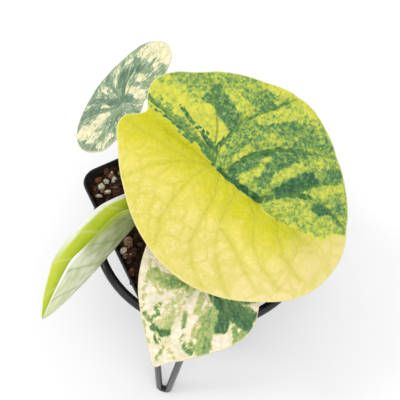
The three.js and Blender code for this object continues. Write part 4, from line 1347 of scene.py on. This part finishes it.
class AROID_OT_stage(bpy.types.Operator):
    """Build the floor, the soft lights and the camera"""

    bl_idname = "aroid.stage"
    bl_label = "Stage"

    def execute(self, context):
        settings = context.scene.aroid_stage
        scene = context.scene
        mesh = bpy.data.meshes.new("floor")
        corners = [(x * FLOOR_REACH, y * FLOOR_REACH, 0) for x, y in ((-1, -1), (1, -1), (1, 1), (-1, 1))]
        mesh.from_pydata(corners, [], [(0, 1, 2, 3)])
        paint = Paint("floor_finish", 0.55, Specular_IOR_Level=0.2)
        paint.colour(settings.floor)
        mesh.materials.append(paint.material)
        floor = bpy.data.objects.new("floor", mesh)
        scene.collection.objects.link(floor)

        world = bpy.data.worlds.new("room")
        scene.world = world
        world.use_nodes = True
        background = world.node_tree.nodes["Background"]
        background.inputs["Color"].default_value = (1.0, 1.0, 1.0, 1.0)
        background.inputs["Strength"].default_value = settings.fill

        middle = Vector(AXIS)
        for name, place, size in LIGHTS:
            lamp = bpy.data.lights.new(name, "AREA")
            lamp.shape = "DISK"
            lamp.size = size
            lamp.energy = getattr(settings, name)
            light = bpy.data.objects.new(name, lamp)
            light.location = middle + Vector(place)
            light.rotation_euler = (middle - light.location).to_track_quat("-Z", "Y").to_euler()
            scene.collection.objects.link(light)

        camera = bpy.data.cameras.new("camera")
        camera.sensor_width = CAMERA["sensor"]
        camera.lens = CAMERA["lens"]
        eye = bpy.data.objects.new("camera", camera)
        eye.location = middle + Vector(CAMERA["place"])
        eye.rotation_euler = (math.radians(CAMERA["tilt"]), 0, 0)
        scene.collection.objects.link(eye)
        scene.camera = eye
        scene.view_settings.view_transform = "Standard"
        return {"FINISHED"}


# Add-on


class AROID_PT_panel(bpy.types.Panel):
    """Settings and steps of the potted aroid"""

    bl_idname = "AROID_PT_panel"
    bl_label = "Potted aroid"
    bl_space_type = "VIEW_3D"
    bl_region_type = "UI"
    bl_category = "Aroid"

    def draw(self, context):
        scene = context.scene
        for title, group, operator in STEPS:
            box = self.layout.box()
            box.label(text=title)
            if group:
                settings = getattr(scene, group)
                for name in GROUPS[group].__annotations__:
                    box.prop(settings, name)
            box.operator(operator)


STEPS = [
    ("Pot", "aroid_pot", "aroid.pot"),
    ("Potting mix", "aroid_mix", "aroid.potting_mix"),
    ("Stalks and stem", None, "aroid.stalks"),
    ("Leaves", "aroid_leaves", "aroid.leaves"),
    ("Wire stand", "aroid_stand", "aroid.stand"),
    ("Stage", "aroid_stage", "aroid.stage"),
]
GROUPS = {
    "aroid_pot": PotSettings, "aroid_mix": MixSettings, "aroid_leaves": LeafSettings,
    "aroid_stand": StandSettings, "aroid_stage": StageSettings,
}
CLASSES = [
    *GROUPS.values(), AROID_OT_pot, AROID_OT_potting_mix, AROID_OT_stalks, AROID_OT_leaves, AROID_OT_stand,
    AROID_OT_stage, AROID_PT_panel,
]


def register():
    for item in CLASSES:
        bpy.utils.register_class(item)
    for name, group in GROUPS.items():
        setattr(bpy.types.Scene, name, PointerProperty(type=group))


def unregister():
    for name in GROUPS:
        delattr(bpy.types.Scene, name)
    for item in reversed(CLASSES):
        bpy.utils.unregister_class(item)


def main():
    register()
    bpy.ops.aroid.pot()
    bpy.ops.aroid.potting_mix()
    bpy.ops.aroid.stalks()
    bpy.ops.aroid.leaves()
    bpy.ops.aroid.stand()
    bpy.ops.aroid.stage()


if __name__ == "__main__":
    main()
